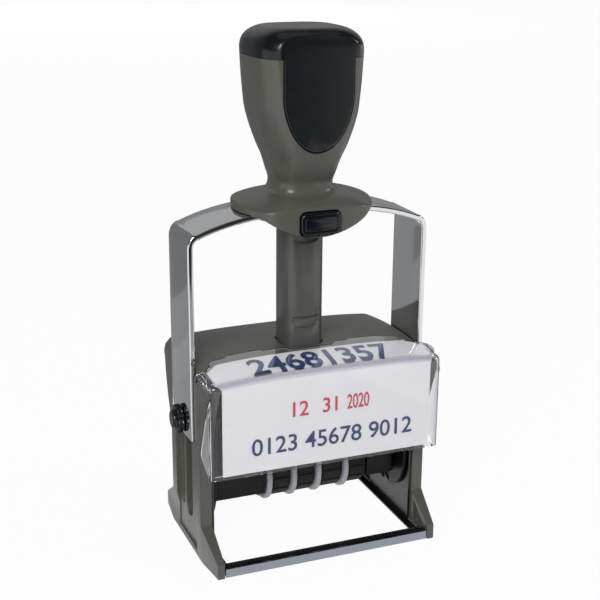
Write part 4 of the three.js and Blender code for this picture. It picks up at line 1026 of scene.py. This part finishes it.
piece("grip_and_collar", grip(), GREY, "press", ["handle"])
piece("black_cap", cap(), BLACK, "press", ["handle_cap"])
piece("cap_tongue", tongue(), BLACK, "press", angle=50)
piece("press_button", button(), BLACK_GLOSS, "lock", ["lock_button"])
piece("yoke_strap", strap(), CHROME, "press", ["yoke"])
piece("grey_post", post(), POST_GREY, "base", ["column"])
piece("folded_card", card(), CARD, "base", ["label_card"])
shell = piece("clear_shell", cover(), CLEAR, "cover", ["clear_cover"], angle=40)
rim = shell.modifiers.new("rims", "BEVEL")
rim.width = 0.22 * MM
rim.segments = 2
rim.limit_method = "ANGLE"
rim.angle_limit = math.radians(50)
# Painted shade: each point of the clear shell gets its share of the darker purple-grey fold tint.
fold_shade_mark = shell.data.attributes.new("painted_fold_shade", "FLOAT", "POINT")
for fold_index, fold_vert in enumerate(shell.data.vertices):
    fold_shade_mark.data[fold_index].value = fold_shade_weight(fold_vert.co / MM)
piece("top_figures", numbers("24681357", on_slope(-26, 26, -25.8, -15.0), [k / 6 for k in range(1, 6)], 0.025), BLUE_INK, "base")
for figures, start, end in (("12", -13.2, -7.4), ("31", -2.2, 3.2), ("2020", 6.9, 15.1)):
    piece(f"red_figures_{figures}", numbers(figures, on_face(start, end, 55.0, 60.4), (), 0.01), RED_INK, "base")
piece("blue_figures", numbers("0123 45678 9012", on_face(-27.9, 31.9, 42.7, 48.9), (), 0.008), BLUE_INK, "base")
for wheel_name, (wheel_x, wheel_hub) in WHEELS.items():
    piece(f"{wheel_name}_disc", wheel(wheel_x, wheel_hub), WHEEL, f"{wheel_name}_dial", [f"{wheel_name}_wheel"])
    piece(f"{wheel_name}_belt", belt(wheel_x, wheel_hub), RUBBER, "carriage", [f"{wheel_name}_band"])
piece("left_ribbed_nut", nut(-1), BLACK_GLOSS, "press", ["left_axle_nut"])
piece("right_ribbed_nut", nut(1), BLACK_GLOSS, "press", ["right_axle_nut"])
coil = piece("grip_spring", spring(), STEEL, "press", ["return_spring"])
pad_piece = piece("inked_felt_pad", felt(), FELT, "pad", ["ink_pad"])

softened("housing", GREY, 0.35)
for name in ("front_rail", "rear_rail"):
    softened(name, RAIL, 0.2)
for name in ("front_rail_strip", "rear_rail_strip", "pad_tray", "left_cam_plate", "right_cam_plate",
             "left_axle_bush", "right_axle_bush", "carriage_frame", "die_plate"):
    softened(name, BLACK_SATIN, 0.15)
for name in ("left_side_plate", "right_side_plate"):
    softened(name, PLATE, 0.15)
for name in ("left_clamp_screw", "right_clamp_screw", "main_axle",
             "guide_rod", "band_bridge", "wheel_axle"):
    softened(name, STEEL, 0.1)
softened("yoke_clamp", GREY, 0.08)
for name in ("front_text_die", "rear_text_die"):
    softened(name, RUBBER, 0.15)


# Studio


def stage_plane(name, size, place, turn, material):
    bm = bmesh.new()
    bmesh.ops.create_grid(bm, x_segments=1, y_segments=1, size=size / 2)
    mesh = bpy.data.meshes.new(name)
    bm.to_mesh(mesh)
    bm.free()
    mesh.materials.append(material)
    thing = bpy.data.objects.new(name, mesh)
    thing.location = place
    thing.rotation_euler = turn
    bpy.context.scene.collection.objects.link(thing)
    return thing


def card_stand(name, corners, shade):
    """A plain card beside the object that only its gloss shows."""
    bm = bmesh.new()
    bm.faces.new([bm.verts.new(corner) for corner in corners])
    mesh = bpy.data.meshes.new(name)
    bm.to_mesh(mesh)
    bm.free()
    material = bpy.data.materials.new(name)
    material.use_nodes = True
    tree = material.node_tree
    tree.nodes.clear()
    glow = put(tree, "ShaderNodeEmission", Color=(shade * 0.985, shade, shade * 1.01, 1), Strength=1.0)
    wire(tree, glow.outputs[0], tree.nodes.new("ShaderNodeOutputMaterial").inputs["Surface"])
    mesh.materials.append(material)
    thing = bpy.data.objects.new(name, mesh)
    thing.visible_camera = False
    thing.visible_diffuse = False
    thing.visible_shadow = False
    thing.visible_transmission = False
    bpy.context.scene.collection.objects.link(thing)


def floor_material():
    material = bpy.data.materials.new("pale_floor")
    material.use_nodes = True
    tree = material.node_tree
    tree.nodes.clear()
    matt = put(tree, "ShaderNodeBsdfDiffuse", Color=(0.55, 0.55, 0.56, 1))
    glow = put(tree, "ShaderNodeEmission", Color=(1, 1, 1, 1), Strength=1.0)
    path = tree.nodes.new("ShaderNodeLightPath")
    seen = sums(tree, "MAXIMUM", sums(tree, "MAXIMUM", path.outputs["Is Camera Ray"], path.outputs["Is Glossy Ray"]),
                path.outputs["Is Transmission Ray"])
    mix = tree.nodes.new("ShaderNodeMixShader")
    wire(tree, sums(tree, "MULTIPLY", seen, 0.96), mix.inputs[0])
    wire(tree, matt.outputs[0], mix.inputs[1])
    wire(tree, glow.outputs[0], mix.inputs[2])
    wire(tree, mix.outputs[0], tree.nodes.new("ShaderNodeOutputMaterial").inputs["Surface"])
    return material


def studio():
    scene = bpy.context.scene
    scene.view_settings.view_transform = "Standard"
    world = bpy.data.worlds.new("studio")
    scene.world = world
    world.use_nodes = True
    tree = world.node_tree
    tree.nodes.clear()
    soft = put(tree, "ShaderNodeBackground", Color=(0.93, 0.96, 1.0, 1), Strength=0.36)
    white = put(tree, "ShaderNodeBackground", Color=(1, 1, 1, 1), Strength=1.0)
    path = tree.nodes.new("ShaderNodeLightPath")
    seen = sums(tree, "MAXIMUM", sums(tree, "MAXIMUM", path.outputs["Is Camera Ray"], path.outputs["Is Glossy Ray"]),
                path.outputs["Is Transmission Ray"])
    mix = tree.nodes.new("ShaderNodeMixShader")
    wire(tree, seen, mix.inputs[0])
    wire(tree, soft.outputs[0], mix.inputs[1])
    wire(tree, white.outputs[0], mix.inputs[2])
    wire(tree, mix.outputs[0], tree.nodes.new("ShaderNodeOutputWorld").inputs["Surface"])
    stage_plane("floor", 9.0, (0, 0, 0), (0, 0, 0), floor_material())
    for name, corners, shade in (
        ("left_low_card", ((-0.32, 0.15, 0.001), (-0.06, 0.15, 0.001), (-0.06, 0.15, 0.02), (-0.32, 0.15, 0.02)), 0.32),
        ("left_card", ((-0.32, 0.15, 0.02), (-0.06, 0.15, 0.02), (-0.06, 0.15, 0.045), (-0.32, 0.15, 0.045)), 0.28),
        ("left_high_card", ((-0.32, 0.15, 0.045), (-0.06, 0.15, 0.045), (-0.06, 0.2, 0.4), (-0.32, 0.2, 0.4)), 0.19),
        ("left_floor_card", ((-0.35, -0.06, 0.001), (-0.052, -0.06, 0.001), (-0.052, 0.15, 0.001), (-0.35, 0.15, 0.001)), 0.3),
        ("wide_card", ((-0.06, 0.15, 0.001), (0.5, 0.15, 0.001), (0.5, 0.15, 0.125), (-0.06, 0.15, 0.125)), 0.27),
        ("back_low_card", ((-0.6, 0.6, 0.001), (0.9, 0.6, 0.001), (0.9, 0.6, 0.28), (-0.6, 0.6, 0.28)), 0.25),
        ("back_card", ((-0.6, 0.6, 0.28), (0.9, 0.6, 0.28), (0.9, 0.6, 0.75), (-0.6, 0.6, 0.75)), 0.43),
        ("front_floor_card", ((-0.02, -0.42, 0.001), (0.108, -0.42, 0.001), (0.108, -0.1, 0.001), (-0.02, -0.1, 0.001)), 0.36),
        ("high_back_card", ((-1.5, 0.8, 0.75), (1.5, 0.8, 0.75), (1.5, 0.7, 1.4), (-1.5, 0.7, 1.4)), 0.05),
        ("ceiling_card", ((-1.5, -1.5, 1.4), (1.5, -1.5, 1.4), (1.5, 0.8, 1.4), (-1.5, 0.8, 1.4)), 0.05),
        ("left_wall_card", ((-1.4, -1.5, 0.3), (-1.4, 1.0, 0.3), (-1.4, 1.0, 1.4), (-1.4, -1.5, 1.4)), 0.06),
        ("right_wall_card", ((1.4, -1.5, 0.3), (1.4, 1.0, 0.3), (1.4, 1.0, 1.4), (1.4, -1.5, 1.4)), 0.08),
        ("front_wall_card", ((-1.4, -1.5, 0.3), (1.4, -1.5, 0.3), (1.4, -1.5, 1.4), (-1.4, -1.5, 1.4)), 0.05),
        ("front_card", ((-0.06, -0.24, 0.032), (0.11, -0.24, 0.032), (0.11, -0.25, 0.2), (-0.06, -0.25, 0.2)), 0.03),
    ):
        card_stand(name, corners, shade)
    for name, place, size, power in (
        ("key_light", (-0.6, -0.75, 0.66), 0.5, 9.8),
        ("fill_light", (0.95, -0.42, 0.6), 0.18, 2.5),
        ("top_light", (0.1, 0.15, 1.1), 0.7, 0.5),
        ("back_light", (0.6, 2.6, 0.36), 1.0, 26.0),
    ):
        lamp = bpy.data.lights.new(name, "AREA")
        lamp.size = size
        lamp.energy = power
        thing = bpy.data.objects.new(name, lamp)
        thing.location = place
        thing.rotation_euler = (Vector((0, 0, 0.08)) - Vector(place)).to_track_quat("-Z", "Y").to_euler()
        thing.visible_glossy = name != "back_light"
        scene.collection.objects.link(thing)


def camera():
    """The photograph's place and angle: azimuth and height above the horizon, a slight roll, and the distance."""
    azimuth, lift, roll = math.radians(-22.1205), math.radians(17.5889), math.radians(0.4848)
    back = Vector((math.sin(azimuth) * math.cos(lift), -math.cos(azimuth) * math.cos(lift), math.sin(lift)))
    right = (-back).cross(Vector((0, 0, 1))).normalized()
    up = right.cross(-back)
    place = Vector((0, 0, 0.086713)) + right * 0.000412 + back * 0.430501
    side = right * math.cos(roll) + up * math.sin(roll)
    head = up * math.cos(roll) - right * math.sin(roll)
    data = bpy.data.cameras.new("camera")
    data.sensor_width = 36
    data.lens = 72.961
    data.clip_start = 0.01
    thing = bpy.data.objects.new("camera", data)
    thing.matrix_world = Matrix((side, head, back)).transposed().to_4x4()
    thing.location = place
    bpy.context.scene.collection.objects.link(thing)
    bpy.context.scene.camera = thing


studio()
camera()
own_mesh(coil)
